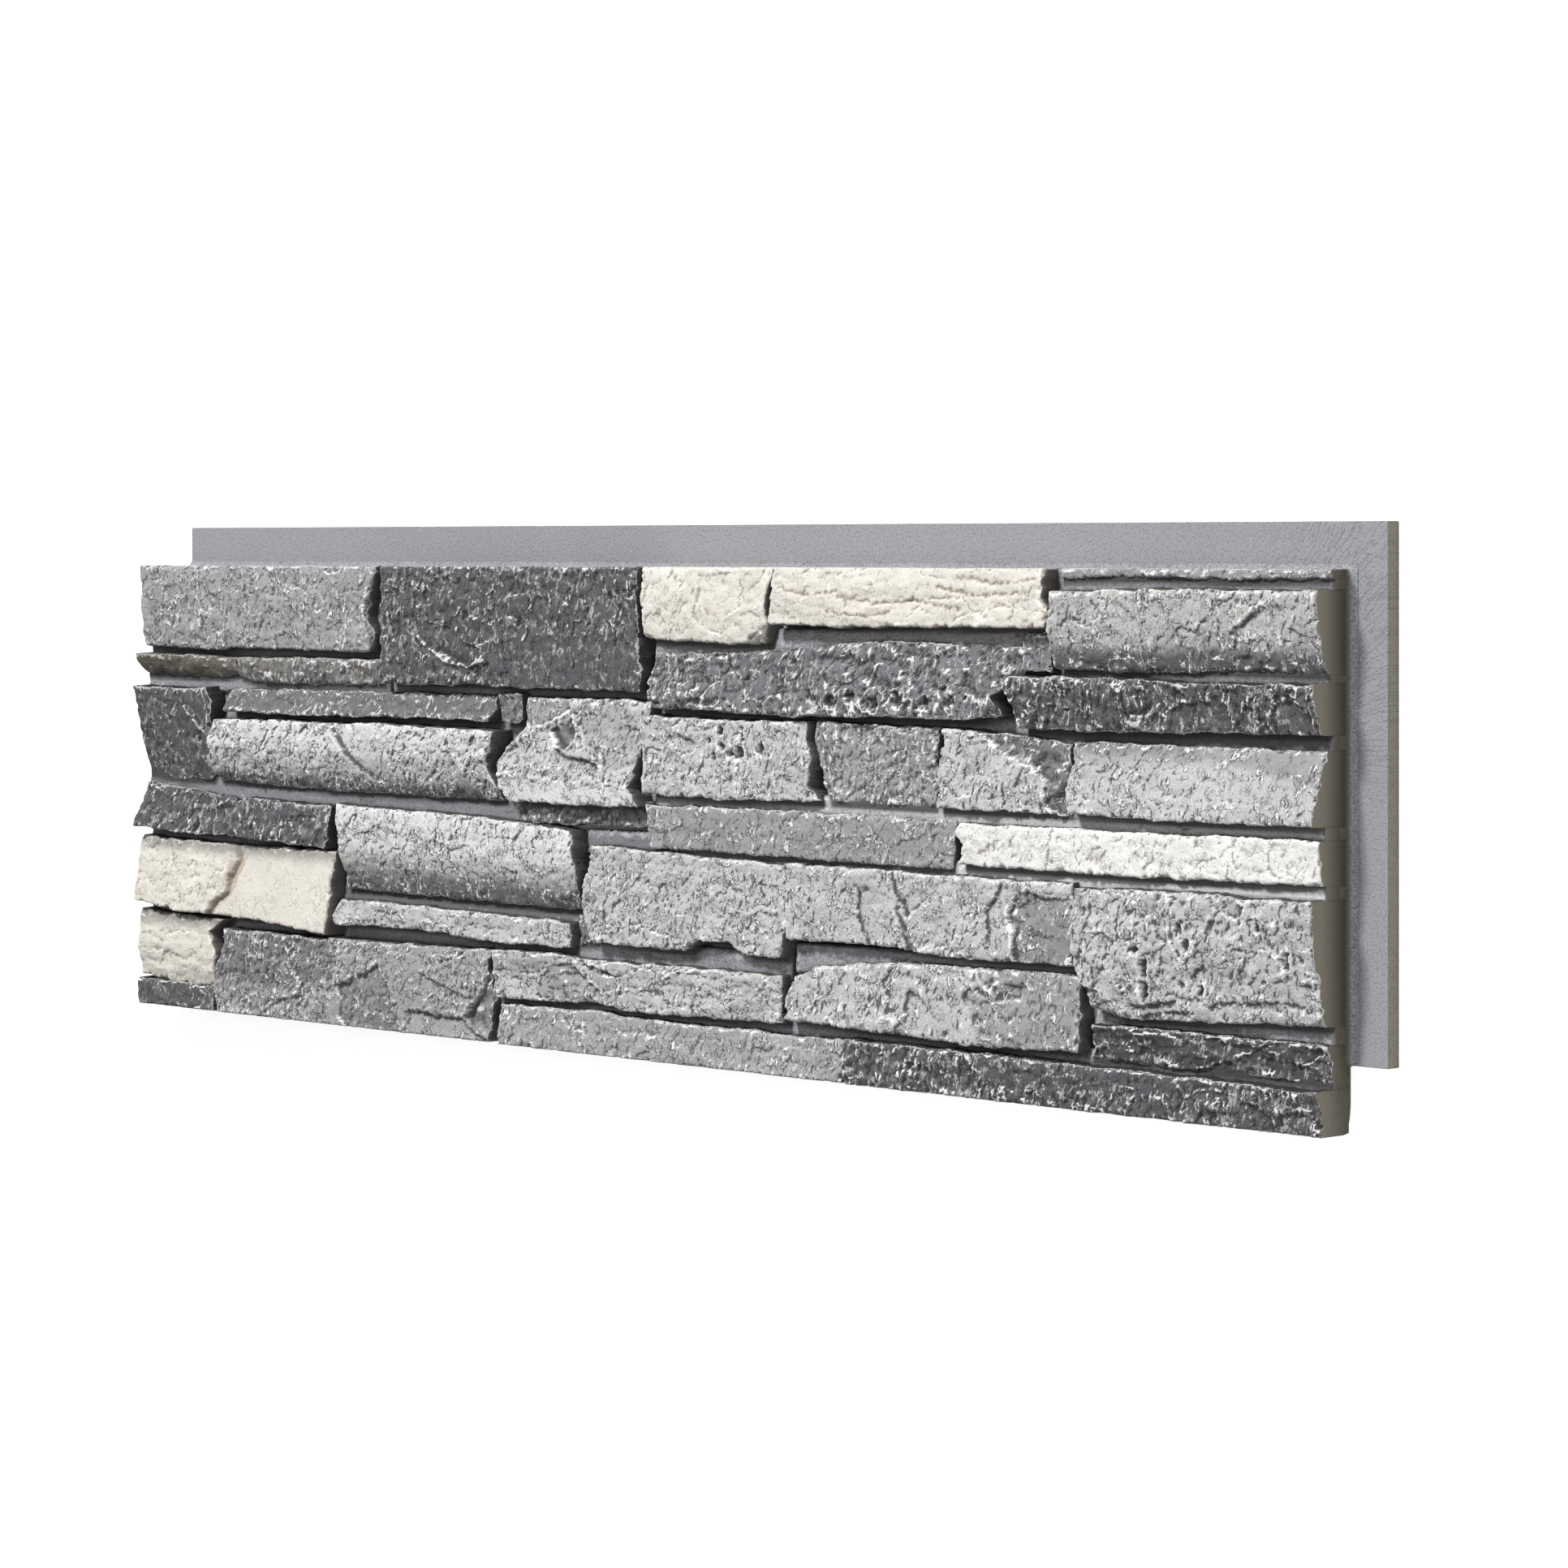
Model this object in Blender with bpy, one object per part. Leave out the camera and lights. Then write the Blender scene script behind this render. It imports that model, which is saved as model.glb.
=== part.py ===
"""Faux stone wall panel, moulded in one piece.

A flat backing board carries a relief of stacked stones. The board stands out past the stones at
the top and at the right as a lap, and stops short of them at the left and at the bottom, so that
neighbouring panels overlap. The panel lies on its back: +X runs along it, +Y is up on the wall,
and +Z points out of the stone face.
"""

import math
from typing import NamedTuple

import bmesh
import bpy
from mathutils import Vector, noise

# Outer sizes, in metres
FACE_LENGTH = 1.067
FACE_HEIGHT = 0.305
RELIEF_DEPTH = 0.034
BOARD_THICKNESS = 0.010
TOP_LAP = 0.026
RIGHT_LAP = 0.025
LEFT_REBATE = 0.030
BOTTOM_REBATE = 0.037

# The bed is the layer that the stones grow out of, and the heel is its rounded lower back edge
BED_THICKNESS = 0.012
LEAST_STEP = 0.001
HEEL_HEIGHT = 0.018
HEEL_DEPTH = 0.0055
HEEL_STEPS = 4

# A small hollow fillet runs where the laps meet the end walls of the stones
COVE_HEIGHT = 0.005
RIGHT_COVE = 0.005
TOP_COVE = 0.003
COVE_BITE = 0.0005
COVE_STEPS = 3

# Stones and bed are built past the ends of the panel, and the mould's envelope cuts them flush
TRIM_ALLOWANCE = 0.006

# How finely the stones are faceted, how uneven they are, and how their rims are worn
STONE_STEP = 0.019
LEDGE_STEP = 0.060
ROOT_DEPTH = 0.003
ROOT_STAGGER = 0.0001
RIM_WIDTH = 0.0026
RIM_DROP = 0.0016
RAGGED_EDGE = 0.0016
ROLL_HEIGHT = 0.0016
ROLL_LENGTH = 0.038
FOLD_SNAP = 0.003

# The plain grey base coat
BASE_COAT = (0.33, 0.33, 0.345, 1.0)
BASE_ROUGHNESS = 0.75

# The stone layout below is in millimetres, on a face of this size whose relief is this deep
LAYOUT_LENGTH = 1067
LAYOUT_HEIGHT = 305
LAYOUT_DEPTH = 34


class Fold(NamedTuple):
    """A fracture on a stone: on the right of the line from start to end, the face falls away.

    It falls by slope for each millimetre beyond the line, until it lies drop millimetres lower.
    """

    start: tuple
    end: tuple
    slope: float
    drop: float


class Stone(NamedTuple):
    """One stone: its corners on the face, and how far each stands out of the board, in millimetres.

    Corners and depths run lower left, lower right, upper right, upper left. The crown is how much
    the stone bulges between its lower and upper edges.
    """

    name: str
    corners: tuple
    depths: tuple
    crown: float = 0.0
    rough: float = 1.0
    folds: tuple = ()


STONES = (
    Stone("top_grey", ((0, 249), (252, 248), (258, 305), (0, 305)), (18, 21, 21, 22), crown=1.5,
          folds=(Fold((262, 270), (247, 305), 0.4, 3),)),
    Stone("top_charcoal", ((269, 228), (522, 228), (517, 305), (267, 305)), (24, 26, 27, 25)),
    Stone("top_cream_short", ((527, 261), (633, 259), (636, 305), (523, 305)), (24, 24, 22, 22), crown=2),
    Stone("top_cream_long", ((640, 271), (866, 271), (861, 305), (645, 305)), (28, 27, 24, 25), crown=1),
    Stone("top_lip", ((868, 299), (1067, 299), (1067, 305), (868, 305)), (17, 17, 17, 17), rough=0.4),
    Stone("right_grey", ((868, 248), (1067, 248), (1067, 293), (872, 292)), (21, 20, 31, 30), crown=2),
    Stone("strip_brown", ((0, 230), (104, 230), (107, 243), (0, 243)), (15, 17, 24, 28), rough=0.6),
    Stone("strip_grey", ((109, 227), (263, 227), (263, 243), (112, 243)), (18, 18, 20, 21), rough=0.6),
    Stone("rough_grey", ((531, 219), (828, 220), (856, 261), (529, 251)), (25, 28, 19, 20), rough=2.0,
          folds=(Fold((812, 215), (846, 262), 0.5, 5),)),
    Stone("ridged_charcoal", ((842, 214), (1067, 216), (1067, 243), (836, 243)), (24, 28, 33, 28), rough=1.4),
    Stone("left_charcoal", ((0, 160), (75, 158), (82, 221), (0, 221)), (12, 16, 28, 29), crown=1),
    Stone("thin_strip", ((97, 206), (378, 206), (396, 222), (93, 221)), (25, 24, 17, 17), rough=0.6),
    Stone("hollow_light", ((87, 158), (386, 155), (386, 200), (89, 200)), (17, 18, 29, 26), crown=4,
          folds=(Fold((240, 168), (205, 202), 0.8, 3),)),
    Stone("peaked_grey", ((399, 158), (516, 162), (517, 221), (403, 221)), (27, 28, 24, 24), crown=3, rough=1.6,
          folds=(Fold((520, 192), (385, 192), 0.35, 9),)),
    Stone("pitted_light", ((524, 165), (680, 166), (664, 213), (524, 213)), (25, 26, 24, 25), rough=1.3),
    Stone("sunk_grey", ((686, 166), (774, 166), (775, 212), (673, 213)), (20, 21, 20, 21)),
    Stone("shelled_light", ((779, 166), (883, 166), (880, 205), (782, 212)), (26, 26, 23, 24), rough=1.2,
          folds=(Fold((872, 178), (795, 216), 0.6, 4),)),
    Stone("right_light", ((889, 167), (1067, 167), (1067, 207), (887, 207)), (30, 34, 21, 23)),
    Stone("wedge_charcoal", ((0, 124), (86, 121), (82, 149), (0, 154)), (29, 27, 19, 15), rough=1.3),
    Stone("block_charcoal", ((107, 119), (208, 118), (211, 146), (110, 147)), (26, 26, 23, 23)),
    Stone("middle_strip", ((528, 132), (788, 131), (791, 159), (524, 158)), (23, 23, 22, 22), rough=0.8),
    Stone("white_strip", ((797, 134), (1067, 135), (1067, 159), (798, 158)), (27, 26, 28, 28), rough=0.8),
    Stone("left_cream", ((0, 72), (213, 60), (219, 115), (0, 117)), (28, 29, 23, 20), crown=1,
          folds=(Fold((75, 64), (101, 120), 1.5, 4),)),
    Stone("broad_grey", ((226, 91), (459, 90), (457, 139), (224, 147)), (18, 19, 27, 26), crown=4),
    Stone("tall_light", ((477, 71), (648, 71), (647, 127), (475, 131)), (26, 26, 25, 25), rough=1.2),
    Stone("cracked_light", ((654, 78), (887, 81), (887, 127), (652, 128)), (26, 27, 26, 26),
          folds=(Fold((752, 76), (738, 130), 0.8, 2), Fold((842, 70), (846, 130), 1.5, 5))),
    Stone("cratered_light", ((899, 54), (1067, 59), (1067, 127), (893, 127)), (25, 22, 33, 29), crown=3, rough=2.0,
          folds=(Fold((893, 90), (960, 52), 0.5, 6),)),
    Stone("light_strip", ((218, 67), (455, 65), (455, 81), (225, 84)), (25, 24, 23, 24), rough=0.6),
    Stone("corner_cream", ((0, 22), (82, 21), (87, 63), (0, 66)), (20, 22, 22, 20), crown=4),
    Stone("corner_grey", ((88, 0), (365, 0), (368, 59), (104, 58)), (23, 25, 24, 24), rough=1.4,
          folds=(Fold((338, 0), (362, 62), 0.4, 5), Fold((230, 62), (262, 0), 0.15, 3))),
    Stone("folded_grey", ((379, 31), (646, 32), (648, 59), (380, 60)), (24, 25, 25, 24), rough=1.6,
          folds=(Fold((520, 45), (430, 57), 0.3, 3),)),
    Stone("flowing_light", ((653, 32), (889, 33), (888, 75), (658, 66)), (26, 26, 22, 22), rough=1.2),
    Stone("corner_strip", ((0, 0), (83, 0), (80, 17), (0, 18)), (24, 22, 21, 25), rough=0.6),
    Stone("bottom_strip", ((379, 0), (698, 0), (699, 26), (380, 27)), (25, 25, 22, 22), rough=0.8),
    Stone("bottom_charcoal", ((704, 0), (1067, 0), (1067, 24), (703, 26)), (26, 26, 29, 26), rough=1.4),
    Stone("sunk_charcoal", ((893, 29), (1067, 28), (1067, 49), (898, 49)), (17, 17, 20, 22), rough=1.6),
)

# Low ledges between the stones, where the bed rises without being a stone
LEDGES = (
    Stone("upper_left", ((0, 218), (266, 220), (266, 231), (0, 232)), (15, 15, 16, 15)),
    Stone("under_hollow", ((0, 145), (398, 140), (398, 160), (0, 162)), (14, 15, 15, 13)),
    Stone("layered", ((400, 142), (526, 144), (526, 160), (400, 160)), (19, 19, 17, 17)),
    Stone("above_tall", ((462, 125), (526, 128), (526, 141), (462, 140)), (15, 16, 16, 15)),
    Stone("above_strip", ((218, 80), (462, 80), (462, 94), (218, 94)), (16, 16, 14, 14)),
    Stone("above_folded", ((372, 55), (649, 56), (649, 73), (372, 70)), (16, 17, 17, 15)),
    Stone("above_flowing", ((653, 62), (890, 70), (890, 84), (653, 80)), (17, 18, 17, 17)),
    Stone("under_cream", ((526, 248), (868, 256), (866, 274), (526, 265)), (17, 18, 15, 16)),
    Stone("under_right_grey", ((869, 240), (1067, 240), (1067, 251), (869, 251)), (16, 17, 18, 16)),
    Stone("above_right_light", ((842, 203), (1067, 204), (1067, 217), (842, 217)), (17, 18, 17, 15)),
    Stone("above_white", ((528, 155), (1067, 155), (1067, 170), (528, 169)), (18, 21, 20, 17)),
    Stone("under_white", ((528, 124), (1067, 123), (1067, 137), (528, 135)), (18, 21, 21, 17)),
    Stone("under_craters", ((893, 45), (1067, 46), (1067, 61), (893, 58)), (15, 15, 15, 14)),
    Stone("above_bottom", ((370, 22), (1067, 20), (1067, 34), (370, 34)), (16, 16, 16, 15)),
)

# The origin lies under the middle of the whole panel
ORIGIN = Vector(((FACE_LENGTH + RIGHT_LAP) / 2, (FACE_HEIGHT + TOP_LAP) / 2, 0.0))


def along_face(distance, layout_size, size):
    """A layout distance in metres on this panel. One that ends with the face goes past its end."""
    metres = distance / layout_size * size
    if distance == layout_size:
        return metres + TRIM_ALLOWANCE
    return metres if distance else -TRIM_ALLOWANCE


def to_face(point):
    """A point of the stone layout on this panel's face."""
    return Vector((along_face(point[0], LAYOUT_LENGTH, FACE_LENGTH),
                   along_face(point[1], LAYOUT_HEIGHT, FACE_HEIGHT)))


def to_depth(distance):
    """A depth of the stone layout in metres on this panel."""
    return distance / LAYOUT_DEPTH * RELIEF_DEPTH


def blend_corners(values, s, t):
    """Mixes four corner values at s along the bottom edge and t up the side."""
    lower = values[0] * (1 - s) + values[1] * s
    upper = values[3] * (1 - s) + values[2] * s
    return lower * (1 - t) + upper * t


def unblend_point(corners, point):
    """The s and t at which a point lies among four corners whose sides are nearly upright."""
    s = t = 0.5
    for _ in range(4):
        bottom, top = corners[0].lerp(corners[1], s), corners[3].lerp(corners[2], s)
        t = (point.y - bottom.y) / (top.y - bottom.y)
        left, right = corners[0].lerp(corners[3], t), corners[1].lerp(corners[2], t)
        s = (point.x - left.x) / (right.x - left.x)
    return min(max(s, 0.0), 1.0), min(max(t, 0.0), 1.0)


def fold_line(fold):
    """A point on the fold, and the unit direction in which the face falls away from it."""
    start = to_face(fold.start)
    along = (to_face(fold.end) - start).normalized()
    return start, Vector((along.y, -along.x))


def fold_drop(folds, point):
    """How far a stone's fractures lower its face at a point."""
    total = 0.0
    for fold in folds:
        start, away = fold_line(fold)
        fall = max(0.0, (point - start).dot(away)) * fold.slope
        total += min(fall, to_depth(fold.drop)) if fold.drop else fall
    return total


def cut_creases(bm, fold):
    """Cuts edges into a flat grid where a fold starts to fall, and where it stops falling."""
    start, away = fold_line(fold)
    for beyond in (0.0, to_depth(fold.drop) / fold.slope):
        spot = start + away * beyond
        bmesh.ops.bisect_plane(bm, geom=bm.verts[:] + bm.edges[:] + bm.faces[:], dist=FOLD_SNAP,
                               plane_co=spot.to_3d(), plane_no=away.to_3d())


def flat_outline(stone, corners, step, seed):
    """A flat grid over the stone's outline, whose edges wander a little."""
    width = (corners[1] - corners[0]).length
    height = (corners[3] - corners[0]).length
    rows = max(3 if stone.crown else 2, round(height / step))
    bm = bmesh.new()
    bmesh.ops.create_grid(bm, x_segments=max(2, round(width / step)), y_segments=rows, size=0.5)
    for vert in bm.verts:
        s, t = round(vert.co.x + 0.5, 6), round(vert.co.y + 0.5, 6)
        point = blend_corners(corners, s, t)
        shift = RAGGED_EDGE * noise.noise((point / STONE_STEP).to_3d() + Vector((0, 0, seed)))
        point.x += shift if s in (0.0, 1.0) else 0.0
        point.y += shift if t in (0.0, 1.0) else 0.0
        vert.co = point.to_3d()
    return bm


def face_depth(stone, corners, point, seed):
    """How far the stone's face stands out of the board at a point."""
    s, t = unblend_point(corners, point)
    depth = to_depth(blend_corners(stone.depths, s, t) + stone.crown * (1 - (2 * t - 1) ** 2))
    roll = noise.noise((point / ROLL_LENGTH).to_3d() + Vector((0, 0, seed)))
    depth += stone.rough * ROLL_HEIGHT * roll
    return max(depth - fold_drop(stone.folds, point), BED_THICKNESS + LEAST_STEP)


def raise_block(bm, stone, corners, seed):
    """Makes a flat grid into a closed block between its root in the bed and the stone's face.

    Each block has its root at a height of its own, so that no two share a plane inside the bed.
    """
    raised = bmesh.ops.extrude_face_region(bm, geom=bm.faces[:], use_keep_orig=True)["geom"]
    raised = {item for item in raised if isinstance(item, bmesh.types.BMVert)}
    for vert in bm.verts:
        if vert in raised:
            depth = face_depth(stone, corners, vert.co.to_2d(), seed)
            vert.co.z += BOARD_THICKNESS + depth
        else:
            vert.co.z = BOARD_THICKNESS + ROOT_DEPTH + ROOT_STAGGER * seed
    bmesh.ops.recalc_face_normals(bm, faces=bm.faces[:])


def stone_block(stone, seed):
    """A stone with a worn rim and its fractures, as a closed block that stands in the bed."""
    corners = [to_face(corner) for corner in stone.corners]
    bm = flat_outline(stone, corners, STONE_STEP, seed)
    bmesh.ops.inset_region(bm, faces=bm.faces[:], thickness=RIM_WIDTH, use_boundary=True,
                           use_even_offset=True)
    for vert in bm.verts:
        vert.co.z = -RIM_DROP if vert.is_boundary else 0.0
    for fold in stone.folds:
        cut_creases(bm, fold)
    raise_block(bm, stone, corners, seed)
    return bm


def ledge_block(ledge, seed):
    """A low ledge as a closed block that stands in the bed."""
    corners = [to_face(corner) for corner in ledge.corners]
    bm = flat_outline(ledge, corners, LEDGE_STEP, seed)
    raise_block(bm, ledge, corners, seed)
    return bm


def stacked_loops(loops):
    """A closed solid through loops that all have the same number of points."""
    bm = bmesh.new()
    rings = [[bm.verts.new(point) for point in loop] for loop in loops]
    bm.faces.new(rings[0])
    bm.faces.new(rings[-1])
    for lower, upper in zip(rings, rings[1:]):
        for a, b, c, d in zip(lower, lower[1:] + lower[:1], upper[1:] + upper[:1], upper):
            bm.faces.new((a, b, c, d))
    bmesh.ops.recalc_face_normals(bm, faces=bm.faces[:])
    return bm


def rectangle(left, bottom, right, top, height):
    """The corners of a level rectangle."""
    return [(left, bottom, height), (right, bottom, height), (right, top, height), (left, top, height)]


def bed_slab():
    """The layer that the stones grow out of, larger all round than the panel that is cut from it."""
    extra = TRIM_ALLOWANCE
    right, top = FACE_LENGTH + RIGHT_LAP + extra, FACE_HEIGHT + TOP_LAP + extra
    return stacked_loops([rectangle(-extra, -extra, right, top, height)
                          for height in (-extra, BOARD_THICKNESS + BED_THICKNESS)])


def face_envelope():
    """The space between the end walls, above the rebates, with the rounded heel."""
    heel = []
    for step in range(HEEL_STEPS + 1):
        angle = math.pi / 2 * step / HEEL_STEPS
        heel.append((HEEL_HEIGHT * (1 - math.sin(angle)),
                     BOARD_THICKNESS + HEEL_DEPTH * (1 - math.cos(angle))))
    above = BOARD_THICKNESS + 2 * RELIEF_DEPTH
    profile = heel + [(0.0, above), (FACE_HEIGHT, above), (FACE_HEIGHT, BOARD_THICKNESS)]
    return stacked_loops([[(x, y, z) for y, z in profile] for x in (0.0, FACE_LENGTH)])


def board_envelope():
    """The board with its laps, and the cove that leads from the laps up to the end walls."""
    outer = (LEFT_REBATE, BOTTOM_REBATE, FACE_LENGTH + RIGHT_LAP, FACE_HEIGHT + TOP_LAP)
    loops = [rectangle(*outer, height) for height in (0.0, BOARD_THICKNESS)]
    for step in range(COVE_STEPS + 1):
        angle = math.pi / 2 * step / COVE_STEPS
        closing = 1 - math.sin(angle)
        inset = COVE_HEIGHT + COVE_BITE * step
        loops.append(rectangle(LEFT_REBATE + inset, BOTTOM_REBATE + inset,
                               FACE_LENGTH + RIGHT_COVE * closing - COVE_BITE,
                               FACE_HEIGHT + TOP_COVE * closing - COVE_BITE,
                               BOARD_THICKNESS + COVE_HEIGHT * (1 - math.cos(angle))))
    return stacked_loops(loops)


def add_object(name, bm, collection):
    """Puts a bmesh into the scene, moved so that the panel's origin is the scene's."""
    bmesh.ops.translate(bm, vec=-ORIGIN, verts=bm.verts[:])
    mesh = bpy.data.meshes.new(name)
    bm.to_mesh(mesh)
    bm.free()
    made = bpy.data.objects.new(name, mesh)
    collection.objects.link(made)
    return made


def add_helper(name, bm, collection):
    """Adds an object that only takes part in a Boolean operation."""
    made = add_object(name, bm, collection)
    made.hide_render = True
    made.display_type = "WIRE"
    return made


def add_boolean(target, name, operation, other):
    """Adds an exact Boolean with an object or with every object of a collection."""
    modifier = target.modifiers.new(name, "BOOLEAN")
    modifier.operation = operation
    modifier.solver = "EXACT"
    if isinstance(other, bpy.types.Collection):
        modifier.operand_type = "COLLECTION"
        modifier.collection = other
    else:
        modifier.object = other


def helper_collection(name):
    """A collection for blocks that are joined into the panel."""
    made = bpy.data.collections.new(name)
    bpy.context.scene.collection.children.link(made)
    return made


def base_coat():
    """The grey paint that covers the whole panel."""
    material = bpy.data.materials.new("grey_base_coat")
    material.use_nodes = True
    shader = material.node_tree.nodes["Principled BSDF"]
    shader.inputs["Base Color"].default_value = BASE_COAT
    shader.inputs["Roughness"].default_value = BASE_ROUGHNESS
    material.diffuse_color = BASE_COAT
    return material


def main():
    for old in list(bpy.data.objects):
        bpy.data.objects.remove(old)
    ledges, stones = helper_collection("ledges"), helper_collection("stones")
    for seed, stone in enumerate(STONES):
        add_helper(f"stone_{stone.name}", stone_block(stone, seed), stones)
    for seed, ledge in enumerate(LEDGES, len(STONES)):
        add_helper(f"ledge_{ledge.name}", ledge_block(ledge, seed), ledges)
    root = bpy.context.scene.collection
    board = add_helper("board_envelope", board_envelope(), root)
    envelope = add_helper("mould_envelope", face_envelope(), root)
    add_boolean(envelope, "board", "UNION", board)
    panel = add_object("stone_panel", bed_slab(), root)
    add_boolean(panel, "ledges", "UNION", ledges)
    add_boolean(panel, "stones", "UNION", stones)
    add_boolean(panel, "mould", "INTERSECT", envelope)
    panel.data.materials.append(base_coat())


main()
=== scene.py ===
"""Dresses the faux stone wall panel: its stones, ledges, bed, backing board, paint, lights and camera.

The layout is in millimetres on the stone face: x runs from its left end, y up from its lower edge,
and depth out of the plane of the laps. The panel lies on its back, so depth points up.
"""

import math
from typing import NamedTuple

import bmesh
import bpy
import numpy as np
from bpy.props import FloatProperty, FloatVectorProperty, PointerProperty
from bpy.types import Operator, Panel, PropertyGroup
from mathutils import Matrix, Vector


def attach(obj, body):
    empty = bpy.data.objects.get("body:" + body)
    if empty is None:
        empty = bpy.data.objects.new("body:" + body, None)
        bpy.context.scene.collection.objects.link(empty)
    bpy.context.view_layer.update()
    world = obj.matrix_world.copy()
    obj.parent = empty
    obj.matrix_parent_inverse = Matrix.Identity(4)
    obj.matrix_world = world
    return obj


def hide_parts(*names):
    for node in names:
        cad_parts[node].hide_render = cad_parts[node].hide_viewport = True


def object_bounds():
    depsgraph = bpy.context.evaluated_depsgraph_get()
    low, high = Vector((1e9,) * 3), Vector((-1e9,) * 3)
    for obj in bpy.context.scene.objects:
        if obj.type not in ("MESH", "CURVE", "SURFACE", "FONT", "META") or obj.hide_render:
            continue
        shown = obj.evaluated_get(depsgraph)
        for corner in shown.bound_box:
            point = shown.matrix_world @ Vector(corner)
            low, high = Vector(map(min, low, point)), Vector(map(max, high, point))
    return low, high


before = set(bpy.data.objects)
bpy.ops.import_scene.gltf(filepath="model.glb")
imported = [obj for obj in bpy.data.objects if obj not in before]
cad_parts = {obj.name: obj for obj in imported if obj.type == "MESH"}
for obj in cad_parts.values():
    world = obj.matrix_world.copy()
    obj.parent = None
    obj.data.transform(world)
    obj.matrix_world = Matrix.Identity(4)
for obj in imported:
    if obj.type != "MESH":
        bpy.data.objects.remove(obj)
CAD_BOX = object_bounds()

bl_info = {
    "name": "Faux stone wall panel",
    "version": (1, 0, 0),
    "blender": (4, 5, 0),
    "location": "3D View > Sidebar > Stone Panel",
    "description": "Builds the relief, the paint and the studio of a moulded faux stone wall panel",
    "category": "Object",
}

# Sizes of the moulded panel, in millimetres
FACE_LENGTH = 1067.0
FACE_HEIGHT = 305.0
BOARD_THICKNESS = 10.0
TOP_LAP = 26.0
RIGHT_LAP = 25.0
LEFT_REBATE = 30.0
BOTTOM_REBATE = 37.0
HEEL_HEIGHT = 18.0
HEEL_DEPTH = 5.5
RIGHT_COVE = 5.0
TOP_COVE = 3.0
BED_THICKNESS = 11.5
MOST_DEPTH = 35.0

# Ledges and bed end just short of the stones' end walls, so that no two walls share a plane
LEDGE_INSET = 0.15
BED_INSET = 0.4

# The side of a stone goes down in three rings: below its rim, at its waist and at its root
RING_DRAFTS = np.array((0.0, 0.05, 0.25, 0.9))
# How strongly each ring of a stone's side is painted with shade, from just below the rim down to the root
RING_SHADES = np.array((0.0, 0.85, 1.0, 1.0))
RIM_RING_DROP = 0.7
WAIST_SHARE = 0.18
WAIST_BULGE = 0.35
WALL_ROOT = 2.0
HEEL_ROOT = 6.8

# Beyond this a place isn't near the rim, and within the limit of the panel's end a side is cut flush
FAR_FROM_RIM = 6.0
FLUSH_LIMIT = 0.5
FLUSH_WEAR = 0.25

# Layers of noise: for each its strength, its width and height in millimetres, and its own seed
WARP_ACROSS = ((2.0, 8, 8, 1), (0.8, 3, 3, 2))
WARP_UP = ((2.0, 8, 8, 3), (0.8, 3, 3, 12))
EDGE_ACROSS = ((1.3, 9, 9, 21), (0.5, 2.6, 2.6, 22))
EDGE_UP = ((1.1, 15, 15, 23), (0.5, 3.2, 3.2, 24), (0.3, 1.4, 1.4, 29))
MARK_ACROSS = ((1.2, 5, 5, 25), (0.7, 2.2, 2.2, 27))
MARK_UP = ((1.2, 5, 5, 26), (0.7, 2.2, 2.2, 28))
CALM_END = 5.0

# Width and height of what breaks a face, in millimetres
CRUMB_SIZE = (2.6, 4.2)
RIDGE_SIZE = (3.0, 13.0)
CRACK_SIZE = (8.0, 10.0)
PIT_SPACING = 12.0

# The finest ridges: how close to the middle of a noise they stand, and their sizes in metres
RIDGE_WIDTH = 0.07
LONG_RIDGES = (0.0042, 0.015)
SHORT_RIDGES = (0.0026, 0.006)
# How far the painted shadow beside each fine ridge is shifted, in metres
LEE_SHIFT = (0.0011, -0.0004, 0.0)

# Where the wrinkles of the right lap spread from, in metres
WRINKLE_HUB = (0.414, 0.0245)

# The camera of the photograph, in metres and millimetres of lens
CAMERA_PLACE = (2.1728, 0.1493, 2.0205)
CAMERA_RIGHT = (0.6926, 0.0, -0.7213)
CAMERA_LENS = 109.94
CAMERA_SHIFT = -0.1486

# Where the lamps stand, seen from the panel
KEY_DIRECTION = (-0.12, 0.72, 0.68)
FILL_DIRECTION = (0.9, -0.1, 0.7)


class Patch(NamedTuple):
    """A facet: inside its outline the face drops, tilts, calms down and takes its own tint, pale below 0. On some
    stones the tint is the facet's own tone, on others a dark one is painted shade and a pale one painted light.
    """

    outline: tuple
    drop: float
    edge: float = 1.6
    tilt: tuple = (0.0, 0.0)
    calm: float = 0.0
    wash: float = 0.0
    stain: float = 0.0

    def carve(self, face):
        """Works the facet into a face."""
        inward = -line_distance(face.rag_x, face.rag_y, self.outline, True)
        inside = smooth_step(inward, -0.5 * self.edge, 0.5 * self.edge)
        middle = np.mean(self.outline, axis=0)
        lean = self.tilt[0] * (face.x - middle[0]) + self.tilt[1] * (face.y - middle[1])
        face.depth -= inside * uneven(face, (13, 11), 777, 0.35, (-0.5, 0.5)) * (self.drop - lean)
        face.calm = np.maximum(face.calm, inside * self.calm)
        face.tint(inside, self)


class Stroke(NamedTuple):
    """A ridge or, with a height below zero, a crack or a trough, along a line of points. A dark tint in a crack or
    a trough is painted shade, and a pale tint on a ridge is partly painted light.
    """

    points: tuple
    width: float
    height: float
    wash: float = 0.0
    stain: float = 0.0

    def carve(self, face):
        """Works the stroke into a face."""
        gap = line_distance(face.rag_x, face.rag_y, self.points, False)
        near = np.clip(1 - gap / (0.5 * self.width), 0, 1) * uneven(face, (5, 5), 888, 0.3, (-0.35, 0.3))
        face.depth += self.height * near
        face.tint(near, self)


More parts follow.
